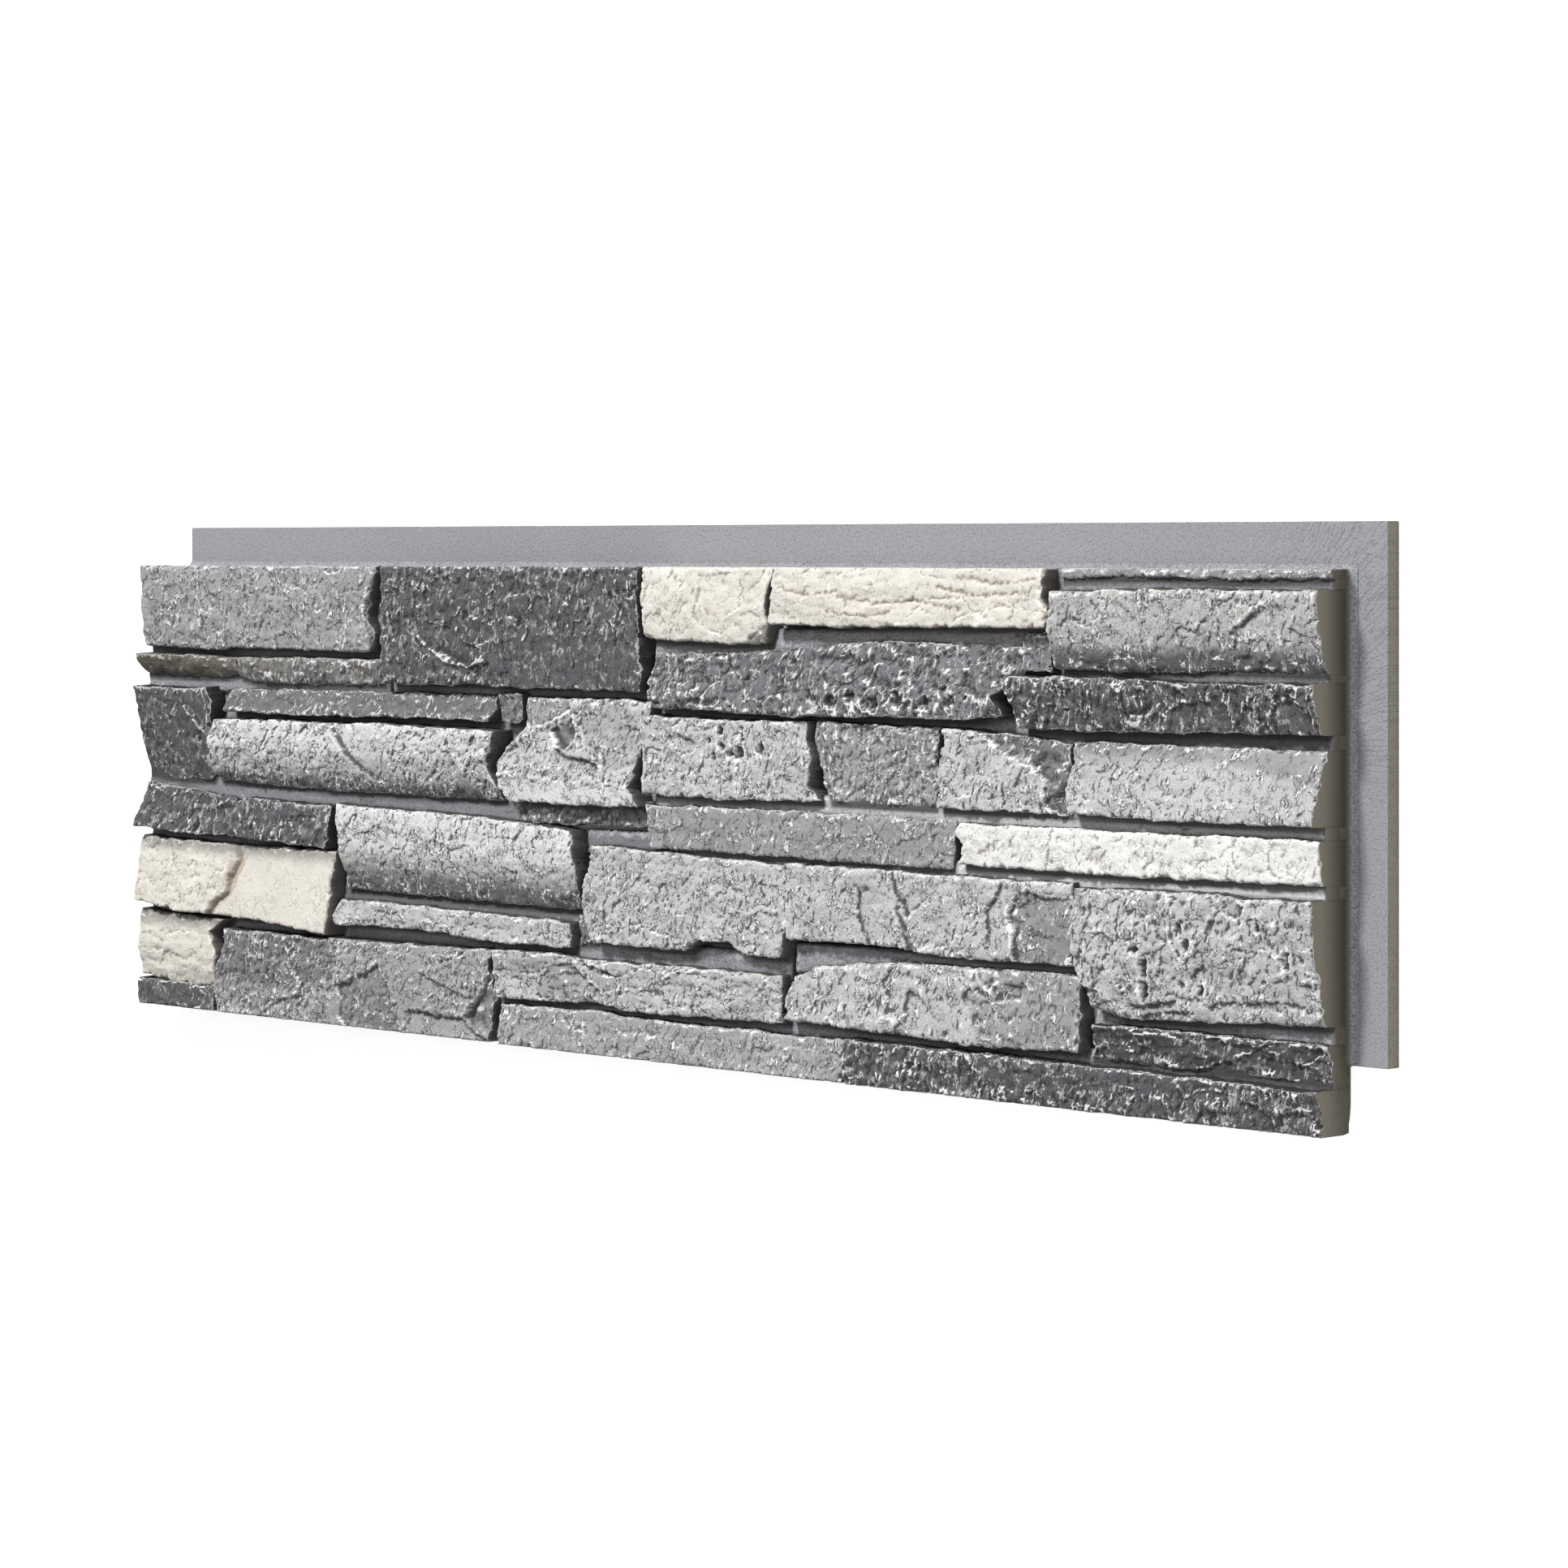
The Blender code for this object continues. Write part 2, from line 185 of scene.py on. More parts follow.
class Chip(NamedTuple):
    """A break: on the right of its line of points the face drops, and climbs back over the reach. Its shade is
    painted shade on the low side of the break and on its wall, where the pale brush is held back too.
    """

    points: tuple
    drop: float
    reach: float
    calm: float = 0.0
    shade: float = 0.0

    def carve(self, face):
        """Works the break into a face, with painted shade on its low side."""
        beyond, past = beyond_line(face.rag_x, face.rag_y, self.points)
        inside = smooth_step(beyond, -0.6, 0.6) * np.clip(1 - past / 4, 0, 1)
        shallow = np.clip(1 - beyond / self.reach, 0, 1)
        face.depth -= self.drop * inside * shallow
        face.calm = np.maximum(face.calm, inside * np.minimum(1, 3 * shallow) * self.calm)
        face.darken(inside * self.shade * np.clip(1 - beyond / 6, 0, 1))
        # Painted shade on the break's wall, which faces the key lamp and would show lit, and the pale brush held
        # back on the high edge just before it
        if self.drop > 0:
            close = smooth_step(beyond, -0.7, 0.2) * smooth_step(-beyond, -3.5, -1.5) * np.clip(1 - past / 2, 0, 1)
            face.lee = np.maximum(face.lee, close * min(1.0, 1.2 * self.shade))
            face.darken(close * min(1.0, 1.3 * self.shade))
            behind = smooth_step(beyond, -5.0, -3.0) * (beyond < 1) * (past < 1)
            face.lip = np.minimum(face.lip, 1 - 0.5 * self.shade * behind)


class Crater(NamedTuple):
    """A broken-out bubble with a sharp raised rim, its inside painted dark as shade."""

    centre: tuple
    radii: tuple
    depth: float

    def carve(self, face):
        """Works the crater into a face."""
        gap = np.hypot((face.rag_x - self.centre[0]) / self.radii[0], (face.rag_y - self.centre[1]) / self.radii[1])
        gap = gap + 0.4 * cloud(face.x / 3, face.y / 3, 333)
        hollow = smooth_step(1 - gap, -0.1, 0.5)
        face.depth += self.depth * (0.10 * np.clip(1 - np.abs(gap - 1.15) / 0.25, 0, 1) - hollow)
        # Painted shade inside the crater
        face.darken(0.95 * hollow)


class Fold(NamedTuple):
    """A fracture: on the right of the line from start to end the face falls away."""

    start: tuple
    end: tuple
    slope: float
    drop: float

    def carve(self, face):
        """Works the fracture into a face."""
        run, rise = self.end[0] - self.start[0], self.end[1] - self.start[1]
        beyond = (face.rag_x - self.start[0]) * rise - (face.rag_y - self.start[1]) * run
        face.depth -= np.minimum(np.clip(beyond / math.hypot(run, rise), 0, None) * self.slope, self.drop)


class Wash(NamedTuple):
    """A band, darker above 0 and pale below, that grows from one share of the stone's height to another. Over the
    whole stone it sets the stone's tone; at the top or the bottom it makes the stone darker there, which on several
    stones is painted shade.
    """

    start: float
    end: float
    strength: float

    def carve(self, face):
        """Lays the band on a face where it is stronger than what is there."""
        share = self.strength * smooth_step(face.t, self.start, self.end)
        face.wash = np.where(np.abs(share) > np.abs(face.wash), share, face.wash)


class Grain(NamedTuple):
    """How a kind of stone face is broken, in millimetres: swells, slabs, chips and crumbs, each finer."""

    swell: float
    swell_size: tuple
    slabs: float
    slab_size: tuple
    chips: float
    chip_size: tuple
    crumbs: float
    cover: float
    lean: float = 0.12
    ridges: float = 0.0
    cracks: float = 0.0
    pits: float = 0.0


GRAINS = {
    "split": Grain(1.2, (26, 18), 0.9, (24, 16), 1.01, (6.0, 9.5), 0.48, 0.50, ridges=0.5),
    "streaked": Grain(1.3, (24, 17), 0.9, (22, 15), 1.22, (5.0, 10.0), 0.42, 0.55, ridges=0.8),
    "pebbled": Grain(1.2, (22, 15), 0.9, (17, 13), 1.22, (4.6, 6.0), 0.59, 0.75, ridges=0.3),
    "smooth": Grain(0.9, (30, 11), 0.6, (24, 9), 0.47, (6.0, 6.5), 0.25, 0.30, ridges=0.2),
    "flowing": Grain(1.6, (34, 12), 1.5, (32, 12), 0.74, (10.0, 7.0), 0.34, 0.40, lean=-0.3, ridges=0.3),
    "diagonal": Grain(1.2, (24, 17), 0.7, (22, 15), 1.08, (4.6, 8.5), 0.50, 0.70, lean=0.55, ridges=0.4),
    "rough": Grain(2.0, (24, 18), 1.5, (18, 14), 1.35, (7.0, 9.0), 0.56, 0.60, ridges=0.5, pits=2.6),
    "crackled": Grain(1.2, (24, 18), 0.8, (17, 14), 0.61, (7.0, 8.0), 0.22, 0.35, cracks=0.5),
    "bed": Grain(0.5, (30, 10), 0.0, (20, 10), 0.15, (7.0, 5.0), 0.10, 0.30),
}


class Stone(NamedTuple):
    """One stone. Its edges run upwards or to the right, its depths LL, LR, UR, UL."""

    name: str
    finish: str
    grain: str
    lower: tuple
    upper: tuple
    depths: tuple
    left: tuple = ()
    right: tuple = ()
    crown: float = 0.0
    relief: float = 1.0
    marks: tuple = ()


GREY_STONES = (
    Stone("top_grey", "mid", "split", ((0, 249), (60, 247.5), (130, 249), (252, 248)), ((0, 305), (258, 305)),
          (18, 21, 21, 22), right=((255, 260), (247, 272), (249, 282), (256, 292)), crown=1.5, marks=(
        Patch(((254, 256), (268, 256), (268, 294), (256, 291), (246, 278), (249, 266)), 3.0, 1.2, calm=0.3),
        Chip(((16, 269), (13, 274), (10, 286), (20, 292), (24, 303)), -1.2, 14),
        Stroke(((139, 304), (132, 290), (117, 281)), 2.0, -1.1),
    )),
    Stone("strip_brown", "brown", "smooth", ((0, 230), (50, 229), (90, 229), (108, 231)),
          ((0, 243), (55, 243.5), (108, 242)), (15, 17, 21, 28), crown=2),
    Stone("strip_grey", "brown_light", "pebbled", ((108, 229), (125, 226), (180, 225.5), (263, 227)),
          ((108, 242), (160, 243), (263, 243)), (18, 18, 20, 21), crown=1, marks=(
        Patch(((190, 222), (205, 234), (224, 234), (214, 222)), 1.2, 2.0, calm=0.7),
        Wash(-1, -0.5, 0.45),
    )),
    Stone("thin_strip", "mid", "smooth", ((97, 206), (200, 205), (300, 206.5), (374, 206)),
          ((99, 221), (376, 222)), (25, 24, 17, 17), left=((96, 210),), right=((379, 212),), marks=(
        Wash(-1, -0.5, 0.75),
        # Painted shadow of the charcoal stone above, over the upper part of the strip
        Wash(0.55, 1.0, 0.95),
    )),
    Stone("peaked_grey", "light", "split", ((399, 156), (452, 155.5), (523, 157)), ((408, 222), (527, 222)),
          (27, 28, 24, 24), left=((388, 165), (386, 178), (392, 190), (409, 203)),
          right=((512, 168), (518, 187), (523, 200)), marks=(
        Fold((520, 171), (385, 173), 0.16, 4.0),
        Patch(((404, 206), (406, 228), (446, 228), (452, 215), (424, 204)), 1.6, 1.6, (0.0, -0.05), 0.75, 0.45),
        Patch(((462, 224), (530, 224), (524, 200), (518, 184), (500, 178), (482, 182), (470, 192), (460, 206)),
              0.8, 2.0, wash=0.35),
        Patch(((431, 202), (446, 189), (450, 189), (457, 197), (454, 209)), 4.0, 1.2, calm=0.6, wash=0.8),
        Patch(((506, 224), (530, 224), (524, 204), (508, 207)), -0.8, 1.6, wash=-0.4),
        Chip(((443, 190), (450, 186), (458, 185), (472, 184), (481, 181)), 3.2, 11, shade=0.9),
        Stroke(((388, 187), (408, 196), (424, 203), (440, 209), (454, 215)), 5, 1.8, wash=-0.5),
        Stroke(((454, 211), (459, 200), (452, 190), (446, 188)), 4, 1.5, wash=-0.7),
        Stroke(((458, 213), (464, 218), (473, 221)), 2.4, -1.8, wash=0.8),
        Patch(((380, 150), (380, 171), (412, 171), (428, 170), (454, 168), (480, 170), (505, 168), (530, 166),
              (530, 150)), -0.4, 1.6, calm=0.8, wash=-0.45),
        Stroke(((387, 173), (412, 172), (428, 171), (454, 169), (480, 171), (505, 169), (516, 167)), 4, 1.3,
               wash=-0.6),
    )),
    Stone("sunk_grey", "mid", "pebbled", ((686, 166), (774, 166)), ((673, 213), (775, 212)), (20, 21, 20, 21),
          left=((680, 180), (674, 196)), marks=(
        Wash(-1, -0.5, 0.3),
    )),
    Stone("middle_strip", "mid", "split", ((528, 132), (650, 131), (788, 131)),
          ((524, 158), (650, 159), (791, 159)), (23, 23, 22, 22), relief=0.8, marks=(
        Wash(-1, -0.5, 0.32),
    )),
    Stone("corner_grey", "mid", "pebbled", ((88, 0), (372, 0)), ((99, 57), (200, 57), (300, 58), (379, 59)),
          (23, 25, 24, 24), left=((85, 16), (90, 34), (98, 52)),
          right=((375, 13), (379, 28), (377, 38), (375, 47)), marks=(
        Patch(((80, 62), (80, 24), (150, 18), (215, 30), (225, 62)), 0.0, 8.0, wash=0.6),
        Patch(((225, 62), (235, 40), (270, 20), (290, 0), (376, 0), (376, 62)), 0.0, 8.0, wash=-0.5),
        Patch(((222, 64), (224, 52), (236, 57), (262, 53), (300, 52), (384, 56), (384, 64)), 1.4, 2.4, calm=0.8,
              wash=0.2),
        Chip(((185, 25), (180, 17), (170, 15), (157, 12), (143, 5)), -1.6, 14, 0.0, 0.5),
        Stroke(((201, 9), (204, 17), (212, 25), (216, 28)), 3, 1.3),
        Patch(((205, 0), (208, 14), (218, 27), (226, 17), (226, 0)), 0.8, 1.6, calm=0.8, wash=-0.2),
        Patch(((263, 44), (248, 35), (220, 27), (226, 17), (222, 7), (236, -4), (288, -4), (286, 8), (279, 18),
              (278, 26)), 2.4, 1.2, calm=0.45, wash=0.5),
        Patch(((218, 32), (222, 28), (242, 31), (252, 40), (256, 49), (252, 56), (236, 57), (222, 42)), -1.5, 1.0,
              wash=-0.3),
        Patch(((260, 48), (275, 35), (283, 20), (288, 2), (305, 8), (311, 23), (326, 35), (312, 48), (288, 54)),
              0.0, 2.0, calm=0.55, wash=-0.6),
        Stroke(((263, 45), (272, 34), (279, 22), (282, 10), (288, 0)), 3, 1.2, wash=-0.6),
        Stroke(((328, 49), (340, 51), (353, 58), (362, 63)), 3, -2.0, wash=0.6),
        Chip(((309, 40), (322, 36), (334, 33), (349, 29), (360, 28)), 1.8, 16, 0.0, 0.35),
        Chip(((295, 15), (313, 16), (322, 14), (332, 14), (349, 14), (360, 7), (374, 1)), 3.2, 40, 0.8, 0.5),
        Patch(((378, 47), (373, 37), (366, 28), (358, 24), (351, 15), (360, 8), (372, 2), (386, 0), (386, 50)),
              5.0, 1.2, (0.12, 0.0), 0.85, 0.45),
    )),
    Stone("folded_grey", "beige", "flowing",
          ((382, 30), (424, 30), (451, 31), (480, 33), (514, 29), (558, 30), (609, 31), (648, 32)),
          ((381, 60), (438, 61), (466, 59), (505, 59), (558, 60), (648, 60)), (24, 25, 25, 24), relief=0.8,
          marks=(
        Patch(((438, 54), (427, 46), (424, 33), (451, 28), (480, 30), (488, 32), (487, 38), (477, 43), (466, 50),
              (457, 56)), 2.4, 1.6, wash=0.45, stain=0.05),
        Patch(((462, 58), (480, 54), (502, 50), (505, 42), (487, 39), (474, 47)), 1.2, 1.6, calm=0.8, wash=0.3),
        Patch(((379, 64), (399, 61), (424, 59), (434, 56), (431, 51), (422, 48), (401, 48), (376, 49)), -1.2, 1.0,
              wash=0.4),
        Patch(((462, 58), (480, 54), (503, 50), (487, 50), (473, 53)), 3.4, 1.0, calm=0.8, wash=0.85),
        Stroke(((461, 57), (469, 49), (477, 45), (487, 39), (502, 41), (512, 43), (523, 43), (534, 49), (546, 53),
               (560, 58), (575, 59)), 3, 1.5, wash=-0.4),
        Stroke(((572, 50), (576, 42), (574, 34)), 2.4, 1.2),
        Stroke(((598, 54), (604, 42), (611, 34)), 2.4, 1.2),
        Stroke(((620, 56), (628, 51), (640, 54)), 2.4, 1.4, wash=-0.4),
    )),
    Stone("bottom_strip", "mid", "split", ((386, 0), (698, 0)),
          ((386, 26), (449, 26), (478, 27), (520, 25), (699, 25)), (25, 25, 22, 22), marks=(
        Patch(((376, 30), (376, 19), (470, 20), (505, 16), (705, 19), (705, 30)), 0.6, 2.0, calm=0.6),
    )),
)

LIGHT_STONES = (
    Stone("top_lip", "mid", "smooth", ((868, 299.5), (930, 300.5), (1000, 299), (1067, 300)),
          ((868, 305), (1067, 305)), (16, 17, 17, 16), marks=(
        Wash(-1, -0.5, 0.35),
    )),
    Stone("right_grey", "beige", "split", ((868, 248), (930, 247), (1000, 249), (1067, 248)),
          ((872, 292), (960, 293.5), (1067, 293)), (21, 20, 31, 30), left=((866, 262), (870, 280)), crown=2,
          relief=0.9, marks=(
        Patch(((1003, 269), (1019, 279), (1037, 289), (1044, 283), (1031, 271), (1011, 267)), 1.2, 2.0, calm=0.8,
              wash=-0.2),
        Stroke(((1007, 273), (1017, 279), (1028, 284), (1036, 287)), 5, 1.1, wash=-0.8),
        Wash(0.5, 0.08, 1.0),
    )),
    Stone("hollow_light", "slanted", "diagonal", ((87, 158), (200, 155.5), (300, 155), (386, 155)),
          ((89, 200), (200, 201), (300, 200.5), (386, 200)), (17, 18, 29, 26), left=((80, 170), (82, 186)),
          right=((382, 165), (376, 177), (382, 190)), crown=4, marks=(
        Patch(((84, 204), (84, 196), (107, 196), (117, 188), (143, 187), (151, 196), (160, 204)), 0.9, 1.4,
              calm=0.6, wash=0.1),
        Chip(((262, 162), (243, 172), (232, 180), (226, 188), (219, 195), (212, 202)), 3.6, 60, 0.7, 0.8),
        # Painted light over the upper part; towards the bottom darker, as painted shade where the hollow face turns
        # down and partly a darker coat of its own
        Patch(((70, 176), (70, 210), (400, 210), (400, 176)), 0.0, 10.0, wash=-0.5),
        Wash(0.42, 0.02, 0.9),
    )),
    Stone("pitted_light", "light", "split", ((524, 165), (600, 164), (680, 166)),
          ((524, 213), (600, 212), (667, 213)), (25, 26, 24, 25),
          right=((671, 174), (672, 184), (674, 191), (668, 202)), marks=(
        Patch(((546, 201), (557, 203), (574, 198), (570, 192), (560, 190), (552, 196)), 1.4, 1.4, calm=0.9),
        Stroke(((529, 204), (546, 198), (561, 192), (568, 183), (571, 178)), 3, 1.1),
        Stroke(((535, 185), (548, 183), (559, 177), (565, 168)), 3, 1.2, wash=-0.4),
        Crater((613, 203), (2.6, 5.5), 5),
        Crater((610, 193), (4.4, 5.0), 5),
        Crater((602, 192), (3.4, 2.6), 4),
        Crater((595, 196), (2.6, 3.0), 4),
        Crater((588, 191), (2.2, 2.2), 2.5),
        Crater((594, 206), (2.2, 3), 3),
        Crater((629, 196), (3.6, 5.0), 3.5),
        Crater((585, 199), (3.0, 2.0), 2.5),
    )),
    Stone("shelled_light", "light", "split", ((779, 166), (883, 166)), ((782, 212), (830, 210), (880, 206)),
          (26, 26, 23, 24), marks=(
        Patch(((806, 218), (812, 211), (831, 199), (853, 192), (864, 184), (864, 170), (896, 160), (896, 218)),
              4.5, 1.4, (0.03, 0.0), wash=0.8),
        Stroke(((806, 213), (831, 200), (853, 193), (864, 184), (863, 172)), 2.4, 1.0, wash=-0.5),
    )),
    Stone("right_light", "light", "split", ((887, 167), (960, 166), (1067, 167)),
          ((885, 207), (960, 207), (1067, 207)), (30, 34, 21, 23), left=((884, 180), (886, 195)), crown=1.5,
          relief=0.8, marks=(
        # Painted shade over the upper part, which curves back, and over a hollow band at the right
        Wash(0.60, 1.0, 0.7),
        Patch(((962, 212), (946, 190), (940, 180), (1072, 176), (1072, 212)), 0.6, 2.0, calm=0.5),
        Patch(((968, 206), (1000, 198), (1070, 186), (1070, 212), (968, 212)), 0.4, 6.0, wash=0.5),
    )),
    Stone("broad_grey", "beige", "split", ((226, 91), (340, 90), (461, 89)),
          ((222, 147), (366, 144), (427, 141), (457, 139)), (18, 19, 27, 26), left=((229, 100), (225, 116)),
          right=((464, 108), (461, 125)), crown=4, relief=0.9, marks=(
        # Painted light over the upper part and painted shade towards the bottom, where the rounded face turns down
        Patch(((210, 116), (210, 156), (475, 150), (475, 114)), 0.0, 10.0, wash=-0.5),
        Wash(0.5, 0.08, 0.9),
    )),
    Stone("tall_light", "light", "split",
          ((477, 71), (520, 70), (562, 70), (575, 77), (600, 78), (617, 71), (648, 71)),
          ((475, 131), (560, 129), (650, 127)), (26, 26, 25, 25), left=((469, 88), (468, 104), (474, 118)),
          right=((652, 90), (652, 110)), marks=(
        Patch(((480, 124), (560, 122), (650, 120), (650, 134), (480, 134)), 0.5, 2.0, calm=0.5),
    )),
    Stone("cracked_light", "light", "split", ((653, 83), (723, 83), (755, 82), (820, 80), (887, 81)),
          ((652, 128), (887, 127)), (26, 27, 26, 26), relief=0.8, marks=(
        Chip(((723, 82), (716, 94), (713, 103), (713, 115)), 2.2, 26, 0.3, 0.5),
        Chip(((756, 82), (753, 89), (751, 97), (745, 104)), 2.2, 40, 0.3, 0.5),
        Chip(((752, 103), (748, 110), (743, 117), (740, 128)), 2.4, 60, 0.6, 0.6),
        Chip(((820, 88), (819, 98), (817, 109), (826, 116), (829, 124)), 2.0, 20, 0.3, 0.6),
        Patch(((839, 115), (845, 120), (852, 122), (866, 118), (895, 120), (895, 76), (842, 76), (839, 88),
              (840, 98), (834, 106)), 3.2, 0.6, (0.10, -0.02), 0.3, 0.6),
        Patch(((690, 132), (720, 124), (800, 124), (895, 121), (895, 132)), -0.4, 1.6, calm=0.6, wash=-0.3),
    )),
    Stone("cratered_light", "light", "rough", ((899, 58), (921, 54), (969, 55), (1023, 58), (1067, 59)),
          ((890, 125), (942, 127), (983, 127), (1023, 126), (1067, 127)), (25, 22, 33, 29),
          left=((893, 70), (889, 92), (889, 110)), crown=3, relief=0.75, marks=(
        Patch(((888, 71), (904, 69), (914, 60), (922, 52), (900, 47), (886, 60)), 4.0, 1.6, wash=0.6, stain=0.1),
        Stroke(((891, 124), (889, 110), (890, 95), (892, 82), (893, 70)), 3, 1.3, wash=-0.5),
        Stroke(((900, 126), (901, 116), (899, 102), (901, 87), (903, 73)), 3, 1.5, wash=-0.4),
        Stroke(((947, 109), (948, 98), (948, 91)), 3, 1.6),
        Stroke(((963, 114), (963, 101), (971, 89)), 3, 1.4),
        Stroke(((996, 119), (989, 107), (981, 95)), 4, 1.6),
        Stroke(((1031, 112), (1033, 101), (1051, 86)), 3, 1.6),
        Stroke(((1018, 96), (1012, 86), (1013, 76)), 3, 1.4),
        Stroke(((921, 112), (931, 96), (928, 84)), 3, 1.3),
        Crater((942, 84), (3.2, 6.5), 6),
        Crater((941, 71), (3.4, 7.5), 7),
        Crater((1046, 93), (3.4, 5.5), 6),
        Crater((1027, 111), (2.2, 4.0), 5),
        Crater((983, 74), (2.2, 4.5), 4),
        Crater((971, 107), (3.0, 5), 3.5),
        Crater((977, 98), (3.0, 4.0), 3),
        Crater((925, 74), (2.6, 3.0), 3),
        Crater((935, 93), (3.4, 2.4), 3.5),
        Patch(((1002, 120), (1008, 125), (1017, 121), (1014, 115), (1005, 116)), 2.6, 1.4, calm=0.7, wash=0.4),
        Patch(((1040, 84), (1062, 82), (1060, 66), (1020, 74)), 1.2, 2.4, calm=0.6),
        Chip(((930, 62), (948, 64), (963, 67)), 2.6, 6, 0.2, 0.9),
        Chip(((938, 57), (955, 60), (974, 61)), 2.0, 5, 0.2, 0.7),
        Chip(((990, 67), (1005, 69), (1018, 69), (1031, 71), (1052, 70)), 1.6, 10, 0.2, 0.4),
    )),
    Stone("light_strip", "light", "smooth", ((220, 67), (300, 69), (380, 65), (455, 65)),
          ((225, 84), (340, 83), (455, 81)), (25, 24, 23, 24), left=((216, 74),), relief=1.2, marks=(
        Stroke(((256, 66), (262, 74), (268, 84)), 2.4, 1.2),
        Stroke(((318, 68), (326, 76), (330, 83)), 2.4, 1.0),
    )),
    Stone("flowing_light", "light", "split", ((652, 34), (744, 32), (820, 30), (889, 33)),
          ((656, 60), (676, 67), (712, 71), (745, 74), (888, 76)), (26, 26, 22, 22), left=((651, 44),),
          relief=0.8, marks=(
        Patch(((650, 34), (661, 43), (666, 36), (662, 30)), -1.8, 2.0, wash=-0.5),
        Stroke(((678, 62), (677, 49), (677, 36)), 2.6, 1.3),
        Chip(((735, 46), (737, 53), (730, 61), (741, 73)), 1.6, 14, 0.2, 0.3),
        Chip(((744, 30), (744, 36), (752, 43), (750, 49), (754, 58)), 1.8, 30, 0.5, 0.4),
        Patch(((797, 58), (804, 64), (813, 63), (820, 59), (822, 66), (836, 68), (848, 68), (843, 60), (826, 57),
              (815, 54), (801, 51)), 1.8, 0.8, (0.0, -0.12), 0.6, 0.35),
        Stroke(((806, 77), (810, 68), (818, 63), (824, 59)), 2.6, 1.8, wash=-0.6),
        Stroke(((851, 66), (855, 49), (863, 44), (865, 35)), 2.6, 1.3),
        Stroke(((860, 73), (862, 56), (872, 49)), 2.6, 1.3),
        Patch(((817, 76), (895, 84), (895, 28), (811, 30), (805, 51)), 0.8, 8.0, wash=0.5),
        Stroke(((694, 68), (688, 55), (670, 41)), 2.4, 1.3, wash=-0.4),
        Stroke(((754, 72), (742, 63), (724, 49), (718, 36)), 2.4, 1.3, wash=-0.4),
        Stroke(((794, 71), (811, 59), (822, 56), (828, 44)), 2.4, 1.4, wash=-0.5),
    )),
)

CREAM_STONES = (
    Stone("top_cream_short", "cream", "crackled", ((525, 261), (560, 259.5), (600, 258.5), (633, 259)),
          ((521, 305), (638, 305)), (24, 24, 22, 22), right=((636, 270), (633, 285)), crown=2, marks=(
        Stroke(((548, 305), (556, 290), (552, 276), (560, 264)), 2.4, -0.9),
        Patch(((575, 300), (612, 303), (616, 282), (590, 272), (572, 284)), 1.2, 1.6, calm=0.4),
        Patch(((614, 254), (640, 254), (640, 272), (628, 268), (618, 262)), 2.6, 1.4, wash=0.7),
    )),
    Stone("top_cream_long", "cream", "flowing", ((640, 271), (700, 270), (780, 271), (866, 271)),
          ((641, 305), (861, 305)), (28, 27, 24, 25), left=((641, 285),), right=((868, 279), (862, 288)), crown=1,
          relief=0.55, marks=(
        Stroke(((700, 288), (730, 284), (762, 286), (800, 281)), 3.2, -1.4, stain=0.9),
        Stroke(((780, 294), (812, 289), (850, 291)), 3.0, -1.4, stain=1.0),
        Stroke(((648, 293), (672, 288), (698, 291)), 2.6, -1.2, stain=0.8),
        Stroke(((690, 279), (720, 276), (742, 279)), 2.6, -1.2, stain=0.8),
        Stroke(((800, 300), (830, 296), (858, 299)), 2.6, -1.2, stain=0.9),
        Patch(((786, 266), (872, 266), (872, 279), (836, 283), (800, 277)), -2.2, 1.6),
        Wash(-1, -0.5, 0.12),
        Wash(0.9, 1.0, 0.3),
    )),
    Stone("white_strip", "white", "split", ((797, 134), (930, 133.5), (1067, 135)),
          ((798, 158), (930, 158), (1067, 159.5)), (27, 26, 28, 28), left=((800, 145), (794, 152)), relief=0.7,
          marks=(
        Stroke(((872, 132), (869, 146), (872, 160)), 1.6, -1.4, wash=0.5),
        Stroke(((940, 132), (944, 142), (941, 152)), 1.4, -1.0, wash=0.4),
        Stroke(((1008, 158), (1006, 148), (1010, 138)), 1.4, -1.2, wash=0.4),
    )),
    Stone("left_cream", "cream", "crackled", ((0, 72), (50, 67), (100, 66), (160, 64), (213, 60)),
          ((0, 117), (100, 114.5), (219, 115)), (28, 29, 23, 20), right=((216, 75), (217, 95)), crown=1, marks=(
        Patch(((104, 122), (104, 116), (112, 105), (104, 94), (103, 83), (88, 75), (78, 60), (228, 50),
              (228, 124)), 0.0, 1.0, calm=0.85),
        # Painted shade on the low side of the break, and a warm painted shadow just right of its upper half
        Chip(((78, 60), (88, 75), (103, 83), (104, 94), (112, 105), (104, 118)), 4.0, 90, 0.0, 0.65),
        Patch(((104, 104), (112, 106), (119, 106), (112, 92), (106, 82), (100, 80), (104, 94)), 0.8, 2.0,
              stain=0.65, wash=0.35),
        Patch(((84, 72), (102, 82), (108, 82), (96, 73), (86, 66)), 0.4, 2.0, stain=0.45, wash=0.2),
        Wash(0.7, 1.0, 0.7),
    )),
    Stone("corner_cream", "cream", "flowing", ((0, 20), (31, 18), (66, 16), (86, 19)),
          ((0, 66), (40, 64), (94, 63)), (20, 22, 22, 20), right=((88, 30), (90, 41), (82, 54)), crown=4,
          relief=0.6, marks=(
        Wash(0.6, 1.0, 0.75),
    )),
)

